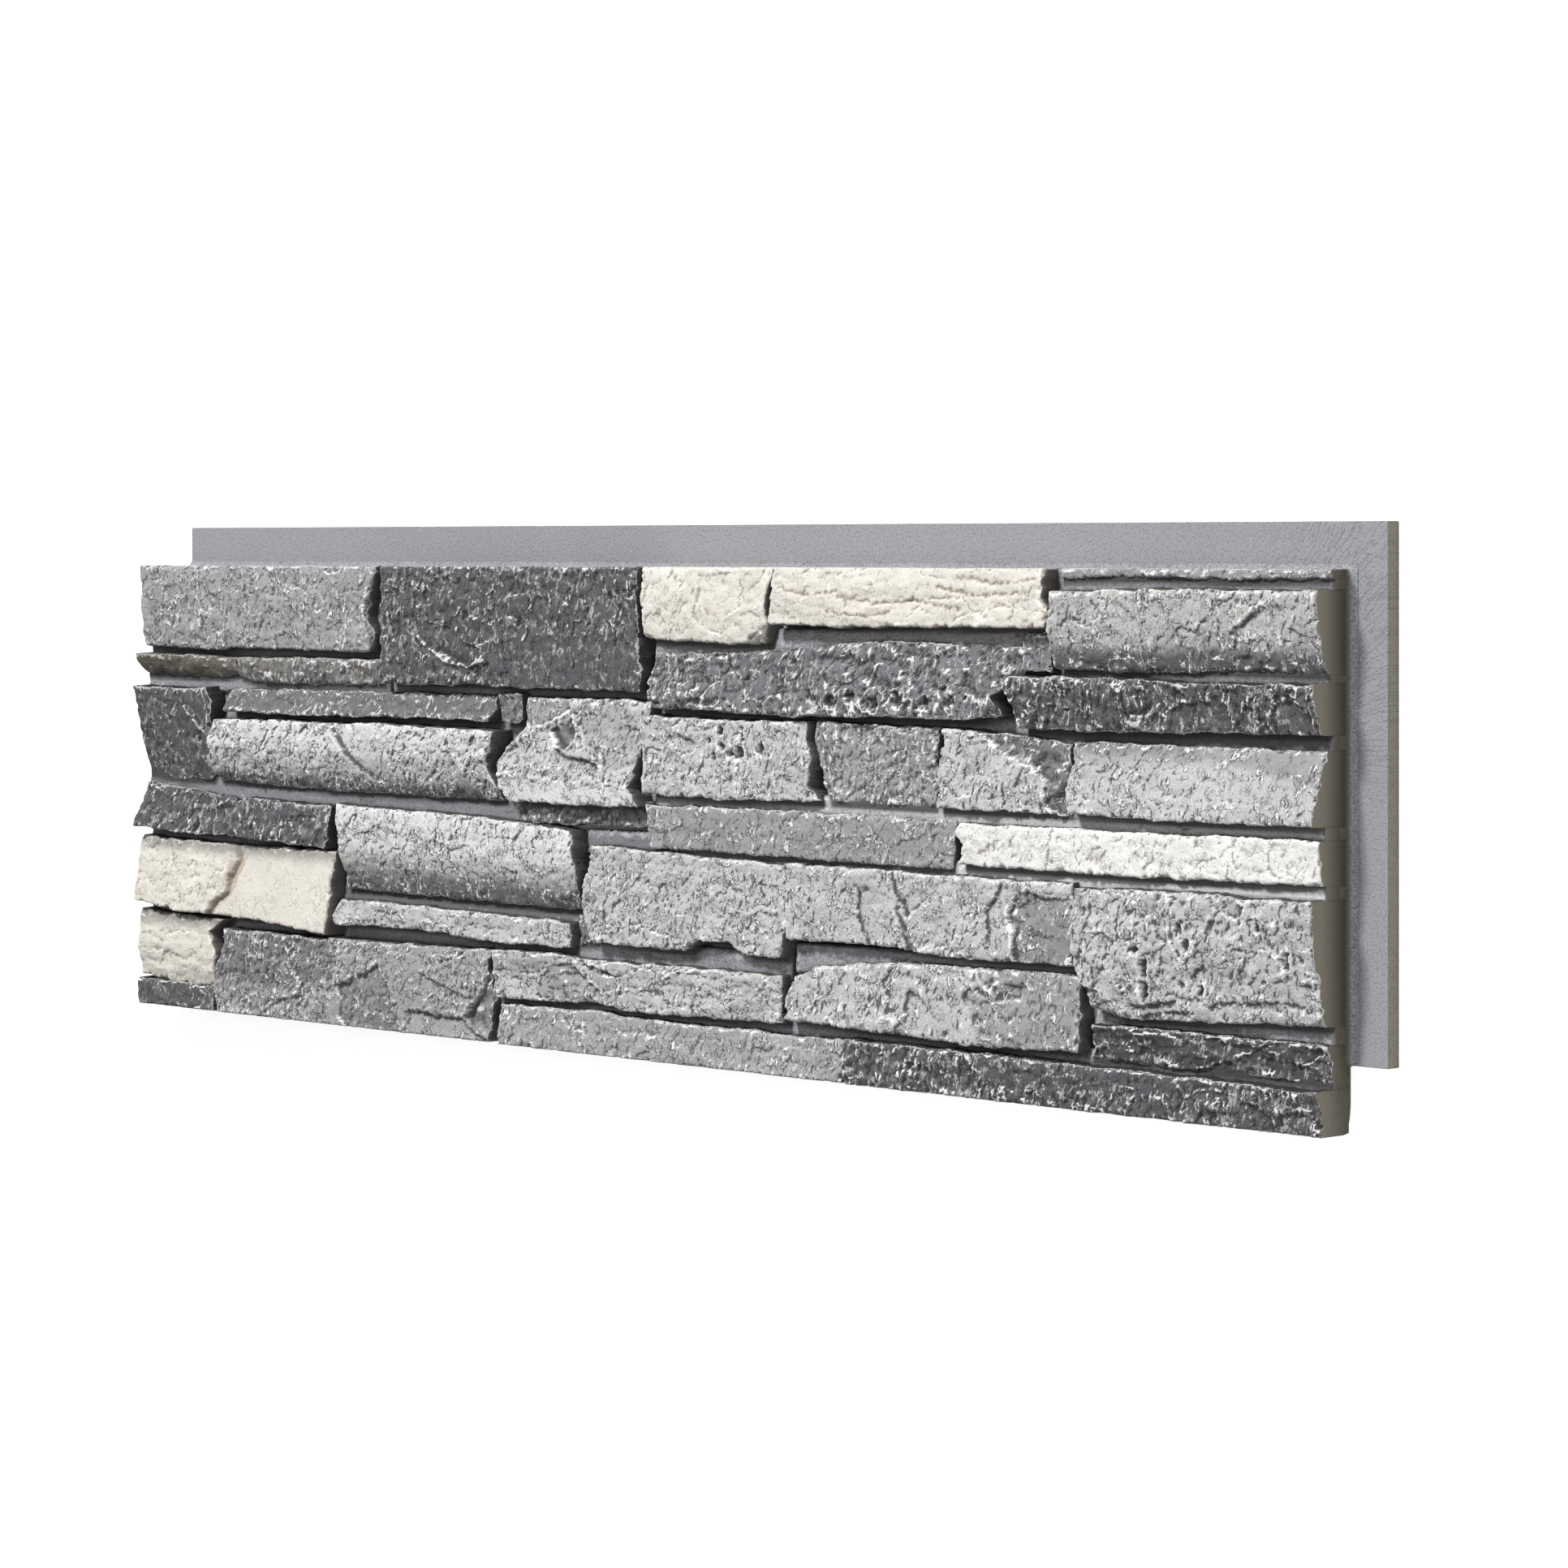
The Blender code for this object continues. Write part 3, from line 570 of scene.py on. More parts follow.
CHARCOAL_STONES = (
    Stone("top_charcoal", "charcoal", "streaked", ((269, 228), (300, 227.5), (362, 229), (378, 228), (522, 228)),
          ((267, 305), (520, 305)), (24, 26, 27, 25), right=((523, 240), (521, 262)), marks=(
        Patch(((296, 222), (300, 248), (327, 247), (358, 241), (362, 230), (362, 222)), -1.2, 1.2),
        Patch(((316, 265), (334, 267), (348, 261), (354, 255), (366, 254), (373, 249), (358, 241), (338, 247),
              (320, 253)), 2.6, 1.6, calm=0.75, wash=0.35),
        Stroke(((302, 269), (308, 258), (320, 251), (338, 243), (354, 241), (366, 243)), 3.4, 1.8, wash=-0.5),
        Stroke(((302, 286), (304, 274), (302, 258), (308, 251), (316, 243)), 3, 1.3, wash=-0.3),
        Patch(((364, 242), (380, 244), (374, 234), (384, 222), (362, 222)), 2.8, 1.4, calm=0.3, wash=0.5),
        Patch(((400, 258), (470, 262), (526, 250), (526, 222), (390, 222)), 0.5, 6.0, calm=0.5),
        Stroke(((269, 226), (268, 262), (266, 300)), 3, 1.0, wash=-0.5),
    )),
    Stone("rough_grey", "dark", "rough", ((531, 219), (600, 217), (670, 216), (740, 218), (790, 217), (828, 220)),
          ((533, 252), (600, 253), (648, 256), (700, 260), (760, 262), (820, 260), (850, 261)), (25, 28, 19, 20),
          left=((526, 238),), right=((822, 232), (838, 240), (846, 252)), marks=(
        Patch(((520, 212), (520, 258), (596, 256), (571, 250), (553, 243), (550, 238), (550, 229), (555, 222),
              (559, 212)), -0.6, 1.4, wash=-0.38),
        Patch(((601, 256), (642, 256), (644, 243), (648, 231), (634, 224), (620, 227), (610, 239)), 0.6, 2.0,
              calm=0.45, wash=0.3),
        Stroke(((595, 253), (578, 252), (566, 248), (553, 242), (549, 235), (550, 229), (554, 224), (559, 218)),
               4, 1.8, wash=-0.5),
        Stroke(((653, 258), (644, 249), (643, 243), (645, 234)), 3, 1.5),
        Crater((690, 226), (6, 4), 4),
        Crater((706, 229), (5, 4), 4),
        Crater((724, 225), (7, 4.5), 4.5),
        Crater((746, 228), (6, 5), 4),
        Crater((768, 226), (6, 4), 4),
        Crater((790, 228), (5, 4), 3.5),
        Fold((812, 215), (846, 262), 0.5, 5),
    )),
    Stone("chip_charcoal", "dark", "rough", ((842, 247), (864, 246)), ((840, 268), (862, 268)), (20, 20, 18, 19),
          relief=0.6),
    Stone("ridged_charcoal", "charcoal", "streaked", ((842, 214), (900, 213), (980, 215), (1067, 216)),
          ((836, 243), (900, 244), (980, 242), (1067, 243)), (24, 28, 33, 28), left=((840, 225), (832, 236)),
          relief=1.5, marks=(
        Patch(((962, 227), (970, 231), (993, 232), (1004, 231), (1008, 210), (956, 210)), 2.2, 1.4, calm=0.7,
              wash=0.3),
        Patch(((1036, 212), (1034, 227), (1041, 233), (1050, 234), (1062, 230), (1067, 212)), 2.6, 1.4, calm=0.8,
              wash=0.2),
        Stroke(((1036, 212), (1034, 227), (1041, 233), (1050, 234), (1061, 230), (1066, 214)), 2.4, 1.0,
               wash=-0.6),
        Stroke(((952, 229), (952, 222), (952, 214)), 3, 1.3, wash=-0.6),
        Patch(((928, 219), (933, 223), (940, 222), (938, 216)), -0.8, 1.6, wash=-0.6),
    )),
    Stone("left_charcoal", "charcoal", "streaked", ((0, 160), (40, 157), (75, 158)),
          ((0, 221), (40, 220.5), (82, 221)), (12, 16, 28, 29), right=((84, 172), (80, 190), (84, 206)), crown=1,
          relief=0.7, marks=(
        Patch(((51, 224), (51, 218), (56, 209), (63, 201), (77, 189), (79, 196), (79, 224)), 1.4, 1.0, calm=0.6),
        Stroke(((50, 219), (56, 209), (63, 201), (77, 188), (80, 200), (79, 221)), 2.2, 1.0, wash=-0.6),
    )),
    Stone("wedge_charcoal", "charcoal", "streaked", ((0, 124), (50, 121), (104, 121)),
          ((0, 154), (50, 151), (104, 146)), (29, 25, 17, 15), marks=(
        Wash(-1, -0.5, 0.3),
        Patch(((58, 116), (69, 132), (78, 139), (92, 141), (112, 142), (112, 116)), 3.6, 4.0, calm=0.7, wash=0.3),
        Stroke(((37, 150), (36, 142), (40, 134)), 2.4, 1.2, wash=-0.4),
    )),
    Stone("valley_charcoal", "dark", "smooth", ((92, 121), (109, 120)), ((92, 144), (112, 144)),
          (19, 21, 18, 17)),
    Stone("block_charcoal", "charcoal", "streaked", ((102, 121), (160, 119), (210, 117)),
          ((118, 147), (212, 145)), (26, 26, 23, 23), left=((109, 140),), right=((211, 132),)),
    Stone("knuckle_charcoal", "dark", "rough", ((383, 206), (402, 205)), ((381, 224), (403, 224)),
          (20, 20, 19, 19), relief=0.7),
    Stone("chock_charcoal", "dark", "rough", ((458, 68), (474, 69)), ((456, 85), (473, 84)), (17, 18, 17, 17),
          relief=0.6),
    Stone("corner_strip", "charcoal", "flowing", ((0, 0), (83, 0)), ((0, 18), (80, 17)), (24, 22, 21, 25),
          relief=0.6),
    Stone("bottom_charcoal", "charcoal", "streaked", ((704, 0), (1067, 0)), ((703, 26), (850, 26), (1067, 24)),
          (26, 26, 29, 26), relief=1.5, marks=(
        Patch(((800, 30), (820, 12), (900, 10), (980, 16), (1000, 30)), 1.2, 4.0, calm=0.5),
        Stroke(((970, 12), (978, 18), (992, 21), (1005, 19), (1017, 16), (1035, 12), (1039, 9)), 2.2, 1.4,
               wash=-0.7),
        Stroke(((1017, 25), (1030, 23), (1037, 17), (1039, 11)), 2.2, 1.2, wash=-0.7),
        Stroke(((898, 15), (911, 19), (925, 17), (938, 16)), 2.2, 1.2, wash=-0.6),
    )),
    Stone("sunk_charcoal", "charcoal", "flowing", ((893, 29), (1067, 28)), ((898, 49), (1067, 49)),
          (17, 17, 20, 22), marks=(
        Wash(-1, -0.5, 0.7),
        Patch(((1009, 38), (1022, 40), (1039, 38), (1054, 34), (1056, 28), (1039, 30), (1018, 33)), 3.0, 2.4,
              calm=0.5, wash=0.9),
        Stroke(((969, 29), (982, 32), (998, 37), (1011, 41), (1021, 46), (1028, 49), (1049, 50), (1060, 47)), 2.4,
               1.8, wash=-0.7),
        Stroke(((893, 30), (899, 36), (913, 39), (931, 40), (945, 36), (960, 29)), 2.2, 1.4, wash=-0.6),
    )),
)

LEDGES = (
    Stone("ledge_upper_left", "bed", "bed", ((0, 218), (266, 220)), ((0, 232), (266, 231)), (15, 15, 16, 15)),
    Stone("ledge_under_hollow", "bed", "bed", ((0, 145), (398, 140)), ((0, 162), (398, 160)), (14, 15, 15, 13),
          marks=(
        Wash(-1, -0.5, 0.35),
    )),
    Stone("ledge_layered", "dark", "pebbled", ((400, 142), (526, 144)), ((400, 160), (526, 160)),
          (19, 19, 17, 17)),
    Stone("ledge_above_tall", "bed", "bed", ((462, 125), (526, 128)), ((462, 140), (526, 141)), (15, 16, 16, 15),
          marks=(
        Wash(-1, -0.5, 0.45),
    )),
    Stone("ledge_above_strip", "bed", "bed", ((218, 80), (462, 80)), ((218, 94), (462, 94)), (16, 16, 14, 14),
          marks=(
        Wash(-1, -0.5, 0.65),
    )),
    Stone("ledge_above_folded", "bed", "bed", ((372, 55), (649, 56)), ((372, 70), (649, 73)), (16, 17, 17, 15)),
    Stone("ledge_above_flowing", "bed", "bed", ((653, 62), (890, 70)), ((653, 80), (890, 84)), (17, 18, 17, 17),
          marks=(
        Wash(-1, -0.5, 0.2),
    )),
    Stone("ledge_under_cream", "bed", "bed", ((526, 248), (868, 256)), ((526, 265), (866, 274)),
          (17, 18, 15, 16)),
    Stone("ledge_under_right_grey", "bed", "bed", ((869, 240), (1067, 240)), ((869, 251), (1067, 251)),
          (16, 19, 20, 16), marks=(
        Wash(-1, -0.5, -0.2),
    )),
    Stone("ledge_under_lip", "bed", "bed", ((868, 290), (1067, 290)), ((868, 302), (1067, 302)),
          (14, 15, 15, 14)),
    Stone("ledge_above_right_light", "bed", "bed", ((842, 203), (1067, 204)), ((842, 217), (1067, 217)),
          (17, 18, 17, 15), marks=(
        Wash(-1, -0.5, 0.9),
    )),
    Stone("ledge_above_white", "bed", "bed", ((528, 155), (1067, 155)), ((528, 169), (1067, 170)),
          (18, 23, 23, 17), marks=(
        Wash(-1, -0.5, -0.45),
    )),
    Stone("ledge_under_white", "bed", "bed", ((528, 124), (1067, 123)), ((528, 135), (1067, 137)),
          (18, 22, 22, 17), marks=(
        Wash(-1, -0.5, -0.6),
    )),
    Stone("ledge_under_craters", "bed", "bed", ((893, 45), (1067, 46)), ((893, 58), (1067, 61)),
          (15, 15, 15, 14)),
    Stone("ledge_above_bottom", "bed", "bed", ((370, 22), (1067, 20)), ((370, 34), (1067, 34)), (16, 16, 16, 15)),
)


# Noise

def hashed(column, row, seed):
    """A fixed share from 0 to 1 for each whole column and row."""
    number = (column.astype(np.int64) * 374761393 + row.astype(np.int64) * 668265263 + seed * 362437) & 0xFFFFFFFF
    number = ((number ^ (number >> 13)) * 1274126177) & 0xFFFFFFFF
    return ((number ^ (number >> 16)) & 0xFFFFFFFF) / 4294967296.0


def cloud(x, y, seed):
    """Smooth noise from about -1 to 1, one lump for each unit."""
    column, row = np.floor(x), np.floor(y)
    across, up = x - column, y - row
    ease_across = across ** 3 * (across * (across * 6 - 15) + 10)
    ease_up = up ** 3 * (up * (up * 6 - 15) + 10)
    total = np.zeros_like(across)
    for right in (0, 1):
        for above in (0, 1):
            turn = hashed(column + right, row + above, seed) * (2 * math.pi)
            slope = np.cos(turn) * (across - right) + np.sin(turn) * (up - above)
            total += slope * (ease_across if right else 1 - ease_across) * (ease_up if above else 1 - ease_up)
    return total * 1.5


def layered(x, y, seed, layers=3):
    """Noise with finer and weaker layers on top."""
    return sum(cloud(x * 2.1 ** i, y * 2.1 ** i, seed + 7 * i) * 0.55 ** i for i in range(layers))


def wander(x, y, seed, layers):
    """Adds up layers of noise."""
    return sum(strength * cloud(x / wide, y / tall, seed + own) for strength, wide, tall, own in layers)


def uneven(face, size, seed, least, limits):
    """A share that wanders over a face between its least value and 1."""
    return least + (1 - least) * smooth_step(cloud(face.x / size[0], face.y / size[1], seed), *limits)


def scattered(x, y, seed):
    """For the nearest of some scattered spots: its distance, the offset from it and its own share."""
    column, row = np.floor(x), np.floor(y)
    nearest = np.full(x.shape, 9.0)
    across, up, share = np.zeros_like(x), np.zeros_like(x), np.zeros_like(x)
    for right in (-1, 0, 1):
        for above in (-1, 0, 1):
            spot_x = column + right + 0.1 + 0.8 * hashed(column + right, row + above, seed)
            spot_y = row + above + 0.1 + 0.8 * hashed(column + right, row + above, seed + 17)
            gap = np.hypot(x - spot_x, y - spot_y)
            closer = gap < nearest
            nearest = np.where(closer, gap, nearest)
            across, up = np.where(closer, x - spot_x, across), np.where(closer, y - spot_y, up)
            share = np.where(closer, hashed(column + right, row + above, seed + 31), share)
    return nearest, across, up, share


def smooth_step(value, low, high):
    """Rises smoothly from 0 at low to 1 at high."""
    share = np.clip((value - low) / (high - low), 0.0, 1.0)
    return share * share * (3 - 2 * share)


def line_distance(x, y, points, closed):
    """Distance from a line of points, counted below zero inside a closed one."""
    nearest = np.full(x.shape, 1e6)
    inside = np.zeros(x.shape, bool)
    for (ax, ay), (bx, by) in zip(points, points[1:] + (points[:1] if closed else ())):
        run, rise = bx - ax, by - ay
        share = np.clip(((x - ax) * run + (y - ay) * rise) / (run * run + rise * rise), 0, 1)
        nearest = np.minimum(nearest, np.hypot(x - ax - share * run, y - ay - share * rise))
        if closed and rise:
            inside ^= ((ay > y) != (by > y)) & (x < run * (y - ay) / rise + ax)
    return np.where(inside, -nearest, nearest)


def beyond_line(x, y, points):
    """How far each place lies on the right of a line of points, and how far it is past its ends."""
    nearest = np.full(x.shape, 1e6)
    beyond, past = np.zeros_like(x), np.zeros_like(x)
    last = len(points) - 2
    for number, ((ax, ay), (bx, by)) in enumerate(zip(points, points[1:])):
        run, rise = bx - ax, by - ay
        length = math.hypot(run, rise)
        share = ((x - ax) * run + (y - ay) * rise) / length ** 2
        held = np.clip(share, 0, 1)
        gap = np.hypot(x - ax - held * run, y - ay - held * rise)
        side = np.where((x - ax) * rise - (y - ay) * run > 0, 1.0, -1.0)
        closer = gap < nearest
        over = np.zeros_like(x)
        if number == 0:
            over = np.maximum(over, -share * length)
        if number == last:
            over = np.maximum(over, (share - 1) * length)
        nearest = np.where(closer, gap, nearest)
        beyond, past = np.where(closer, gap * side, beyond), np.where(closer, over, past)
    return beyond, past


def blurred(field, across, up):
    """The mean of a field over a window of so many points each way."""
    for axis, reach in ((1, across), (0, up)):
        pad = [(0, 0), (0, 0)]
        pad[axis] = (reach + 1, reach)
        total = np.cumsum(np.pad(field, pad, mode="edge"), axis=axis)
        size = 2 * reach + 1
        low, high = (total[:, :-size], total[:, size:]) if axis else (total[:-size], total[size:])
        field = (high - low) / size
    return field


# The shape of a stone

def polyline(points, shares):
    """Points at the given shares of the length of a line."""
    points = np.array(points, float)
    steps = np.hypot(*np.diff(points, axis=0).T)
    reached = np.concatenate(([0.0], np.cumsum(steps))) / steps.sum()
    return np.interp(shares, reached, points[:, 0]), np.interp(shares, reached, points[:, 1])


def stone_outline(stone, s, t):
    """Maps a unit square onto the stone's four edges."""
    low, top = polyline(stone.lower, s), polyline(stone.upper, s)
    left = polyline((stone.lower[0],) + stone.left + (stone.upper[0],), t)
    right = polyline((stone.lower[-1],) + stone.right + (stone.upper[-1],), t)
    s, t = s[None, :], t[:, None]

    def blend(low, top, first, last):
        corners = ((1 - s) * (1 - t) * low[0] + s * (1 - t) * low[-1] + (1 - s) * t * top[0] + s * t * top[-1])
        return (1 - t) * low[None] + t * top[None] + (1 - s) * first[:, None] + s * last[:, None] - corners

    return tuple(blend(low[axis], top[axis], left[axis], right[axis]) for axis in (0, 1))


def flakes(x, y, size, seed, spread=3.0):
    """Overlapping flakes, each of which rises towards its right or lower side and breaks off there."""
    _, across, up, share = scattered(x / size[0], y / size[1], seed)
    turn = -0.5 + (share - 0.5) * spread
    return np.cos(turn) * across + np.sin(turn) * up + 0.6 * (share - 0.5)


def broken_relief(x, y, grain, seed):
    """The broken surface of a stone, in millimetres about its smooth face."""
    warp_x, warp_y = x + wander(x, y, seed, WARP_ACROSS), y + wander(x, y, seed, WARP_UP)
    leaned = warp_x - grain.lean * warp_y
    relief = grain.swell * layered(x / grain.swell_size[0], y / grain.swell_size[1], seed + 4)
    relief += grain.slabs * flakes(warp_x, warp_y, grain.slab_size, seed + 8, 6.3)
    broken = smooth_step(layered(x / 17, y / 13, seed + 6, 2), 0.45 - grain.cover, 1.0 - grain.cover)
    relief += grain.chips * (0.25 + 0.75 * broken) * flakes(leaned, warp_y, grain.chip_size, seed + 5)
    crumbled = smooth_step(layered(x / 9, y / 8, seed + 16, 2), 0.35 - grain.cover, 0.9 - grain.cover)
    relief += grain.crumbs * (0.3 + 0.7 * crumbled) * flakes(leaned, warp_y, CRUMB_SIZE, seed + 7)
    if grain.ridges:
        crossing = np.abs(cloud(leaned / RIDGE_SIZE[0], warp_y / RIDGE_SIZE[1], seed + 15))
        ridge = np.clip(1 - 5 * crossing, 0, 1) * smooth_step(cloud(x / 5, y / 6, seed + 13), 0.0, 0.4)
        relief += grain.ridges * broken * ridge
    if grain.cracks:
        crossing = np.abs(cloud(warp_x / CRACK_SIZE[0], warp_y / CRACK_SIZE[1], seed + 14))
        relief -= grain.cracks * np.clip(1 - 12 * crossing, 0, 1) * (0.3 + 0.7 * broken)
    if grain.pits:
        gap, _, _, share = scattered(warp_x / PIT_SPACING, warp_y / PIT_SPACING, seed + 9)
        reach = 0.14 + 0.10 * cloud(x / 2.6, y / 2.6, seed + 11)
        relief -= grain.pits * (share < 0.2) * smooth_step(reach - gap, -0.03, 0.16)
    return relief + 0.08 * cloud(x / 1.7, y / 1.7, seed + 10)


class Face:
    """A stone's face as arrays over its grid, which the marks carve and tint."""

    def __init__(self, stone, columns, rows, seed):
        s, t = np.linspace(0, 1, columns + 1), np.linspace(0, 1, rows + 1)
        x, y = stone_outline(stone, s, t)
        length, height = x.max() - x.min(), y.max() - y.min()
        if stone.grain != "bed":
            free_x = np.clip(np.minimum(x, FACE_LENGTH - x) / CALM_END, 0, 1)
            free_y = np.clip(np.minimum(y, FACE_HEIGHT - y) / CALM_END, 0, 1)
            x = x + free_x * wander(x, y, seed, EDGE_ACROSS)
            y = y + free_y * wander(x, y, seed, EDGE_UP)
        self.x, self.y = np.clip(x, 0, FACE_LENGTH), np.clip(y, 0, FACE_HEIGHT)
        self.s, self.t = np.broadcast_to(s, x.shape), np.broadcast_to(t[:, None], x.shape)
        low = stone.depths[0] * (1 - self.s) + stone.depths[1] * self.s
        top = stone.depths[3] * (1 - self.s) + stone.depths[2] * self.s
        self.depth = low * (1 - self.t) + top * self.t + stone.crown * (1 - (2 * self.t - 1) ** 2)
        self.calm, self.wash, self.stain, self.lee = (np.zeros_like(x) for _ in range(4))
        # How far the pale brush is held back on the high edge of a break, part of the painted shade there
        self.lip = np.ones_like(x)
        self.rag_x = self.x + wander(x, y, seed, MARK_ACROSS)
        self.rag_y = self.y + wander(x, y, seed, MARK_UP)
        for mark in stone.marks:
            mark.carve(self)
        relief = broken_relief(self.x, self.y, GRAINS[stone.grain], seed)
        self.depth += stone.relief * relief * (1 - self.calm)
        self.wear_rim(length, height, seed)
        self.depth = np.clip(self.depth, BED_THICKNESS + 1.0, MOST_DEPTH)
        self.paint(length / columns, height / rows)

    def tint(self, share, mark):
        """Lays a mark's own tint and staining over what is there. On some stones a dark tint is painted shade and a
        pale one painted light, and on one cream stone the staining is a warm painted shadow.
        """
        if mark.wash:
            self.wash = self.wash * (1 - share) + mark.wash * share
        self.stain = np.maximum(self.stain, share * mark.stain)

    def darken(self, share):
        """Lays painted shade, as a dark tint, where it is stronger than what is there."""
        self.wash = np.maximum(self.wash, share)

    def wear_rim(self, length, height, seed):
        """Rounds and chips the rim, except where the mould cut the stone flush with the panel's end."""
        settings = bpy.context.scene.stone_panel_relief
        width, drop = settings.rim_width * 1000, settings.rim_drop * 1000
        free_x = np.where((self.x < FLUSH_LIMIT) | (self.x > FACE_LENGTH - FLUSH_LIMIT), FLUSH_WEAR, 1.0)
        free_y = np.where((self.y < FLUSH_LIMIT) | (self.y > FACE_HEIGHT - FLUSH_LIMIT), FLUSH_WEAR, 1.0)
        gap = np.minimum(np.minimum(self.s, 1 - self.s) * length / free_x[:, [0, -1]].mean(),
                         np.minimum(self.t, 1 - self.t) * height / free_y[[0, -1]].mean())
        chips = smooth_step(layered(self.x / 6, self.y / 6, seed + 41, 2), 0.15, 0.6)
        near = np.clip(1 - gap / (width * (1 + 1.5 * chips)), 0, 1)
        self.depth -= near ** 2 * drop * (0.55 + 1.6 * chips)
        self.rim = np.minimum(gap, FAR_FROM_RIM)

    def paint(self, step_x, step_y):
        """Finds the crests that a dry brush touches and the hollows where dark paint settles, and paints light and
        shade by slope as if lit from the upper left.
        """
        wide, tall = max(1, round(0.9 / step_x)), max(1, round(1.0 / step_y))
        fine, middling, broad = (self.depth - blurred(self.depth, size * wide, size * tall) for size in (1, 3, 5))
        raised = fine + 0.35 * middling
        rise_y, rise_x = np.gradient(broad)
        # Painted light and shade by slope: faces turned up and to the left are made paler, faces turned down and to
        # the right darker, as if lit from the upper left
        lit = np.clip(0.42 * (rise_x / step_x - 0.5 * rise_y / step_y), -0.34, 0.24)
        brushed = np.where(raised > 0, uneven(self, (8, 9), 555, 0.2, (-0.3, 0.5)), 1.0)
        crest = np.minimum(np.clip(0.5 + raised * brushed / 0.95 + lit, 0, 1), self.lip)
        # Beside painted breaks the crests are held dark, as painted shade
        self.crest = crest * (1 - self.lee) + np.minimum(crest, 0.28) * self.lee


def add_object(name, data):
    """Adds an object to the scene that holds a mesh, a lamp or a camera."""
    item = bpy.data.objects.new(name, data)
    bpy.context.scene.collection.objects.link(item)
    return item


def add_mesh(name, mesh, material):
    """Adds a finished mesh with one material."""
    data = bpy.data.meshes.new(name)
    mesh.to_mesh(data)
    mesh.free()
    data.materials.append(material)
    return add_object(name, data)


def add_piece(name, mesh, material):
    """Adds a finished mesh as a piece of the panel that stands for its plain solid."""
    piece = add_mesh(name, mesh, material)
    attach(piece, "root")
    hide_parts("stone_panel")
    return piece


def corners_in(items):
    """The vertices among some mesh parts."""
    return [item for item in items if isinstance(item, bmesh.types.BMVert)]


def sheet_mesh(columns, rows, rings):
    """A flat grid whose border is drawn down in rings and closed below, ready to be shaped."""
    mesh = bmesh.new()
    bmesh.ops.create_grid(mesh, x_segments=columns, y_segments=rows, size=1.0)
    border = [edge for edge in mesh.edges if edge.is_boundary]
    for _ in range(rings):
        drawn = bmesh.ops.extrude_edge_only(mesh, edges=border)["geom"]
        bmesh.ops.translate(mesh, verts=corners_in(drawn), vec=(0, 0, -1))
        border = [item for item in drawn if isinstance(item, bmesh.types.BMEdge) and item.is_boundary]
    bmesh.ops.holes_fill(mesh, edges=border, sides=0)
    bmesh.ops.recalc_face_normals(mesh, faces=mesh.faces[:])
    return mesh


def grid_places(data, columns, rows):
    """For each vertex of a sheet: its column, its row and the ring that it is on."""
    place = np.empty(len(data.vertices) * 3)
    data.vertices.foreach_get("co", place)
    place = place.reshape(-1, 3)
    column = np.rint((place[:, 0] + 1) / 2 * columns).astype(int)
    row = np.rint((place[:, 1] + 1) / 2 * rows).astype(int)
    return column, row, np.rint(-place[:, 2]).astype(int)


def set_places(data, x, y, depth):
    """Writes millimetres on the face as places in the panel's own frame."""
    low = CAD_BOX[0]
    place = np.stack((low.x + x / 1000, low.y + y / 1000, low.z + (depth + BOARD_THICKNESS) / 1000), axis=1)
    data.vertices.foreach_set("co", place.ravel())
    data.polygons.foreach_set("use_smooth", [True] * len(data.polygons))
    data.update()


def set_masks(data, **masks):
    """Stores what the paint reads: for each mask one value at each vertex."""
    for name, values in masks.items():
        spread = np.array(np.broadcast_to(values, len(data.vertices)), np.float32)
        data.attributes.new(name, "FLOAT", "POINT").data.foreach_set("value", spread)


def add_stone(stone, seed, step):
    """Builds one stone as a closed block with a broken face and drafted sides."""
    length, height = stone.lower[-1][0] - stone.lower[0][0], stone.upper[0][1] - stone.lower[0][1]
    columns, rows = max(6, round(length / step[0])), max(5, round(height / step[1]))
    face = Face(stone, columns, rows, seed)
    rings = len(RING_DRAFTS) - 1
    data = add_piece(stone.name, sheet_mesh(columns, rows, rings), stone_paint(stone.finish)).data
    column, row, ring = grid_places(data, columns, rows)
    x, y, depth = face.x[row, column], face.y[row, column], face.depth[row, column]
    outward_x = 1.0 * (column == columns) - (column == 0)
    outward_y = 1.0 * (row == rows) - (row == 0)
    wall = depth - np.where((row == 0) & (y < FLUSH_LIMIT), HEEL_ROOT, WALL_ROOT)
    drop = np.choose(ring, (0.0, RIM_RING_DROP, WAIST_SHARE * wall, wall))
    bulge = WAIST_BULGE * cloud(x / 3.1, y / 3.1 + 7.4, seed + 51) * (ring == 2)
    end_x = (x < 0.01) | (x > FACE_LENGTH - 0.01)
    end_y = (y < 0.01) | (y > FACE_HEIGHT - 0.01)
    x = x + outward_x * (RING_DRAFTS[ring] + bulge) * ~end_x
    y = y + outward_y * (RING_DRAFTS[ring] + bulge) * ~end_y
    inset = LEDGE_INSET + 0.01 * LEDGES.index(stone) if stone in LEDGES else 0.0
    set_places(data, np.clip(x, inset, FACE_LENGTH - inset), np.clip(y, inset, FACE_HEIGHT - inset), depth - drop)
    top_side = (y > FACE_HEIGHT - 0.3) & (outward_y > 0)
    # Painted shade on the sides of the stone, except the side along the panel's top edge
    side = RING_SHADES[ring] * ~top_side
    at_end = (ring > 0) & ~top_side & (end_x & (outward_x != 0) | end_y & (outward_y < 0))
    rim = np.choose(ring, (face.rim[row, column], RIM_RING_DROP, FAR_FROM_RIM, FAR_FROM_RIM))
    set_masks(data, crest=np.where(ring > 0, 0.5, face.crest[row, column]), rim=rim,
              wash=face.wash[row, column] * (1 - 0.5 * side), stain=face.stain[row, column], side=side, end=at_end)
    if stone in LEDGES:
        # The ledge takes painted shadow beside and below the stones
        set_masks(data, joint=joint_shade(x, y))


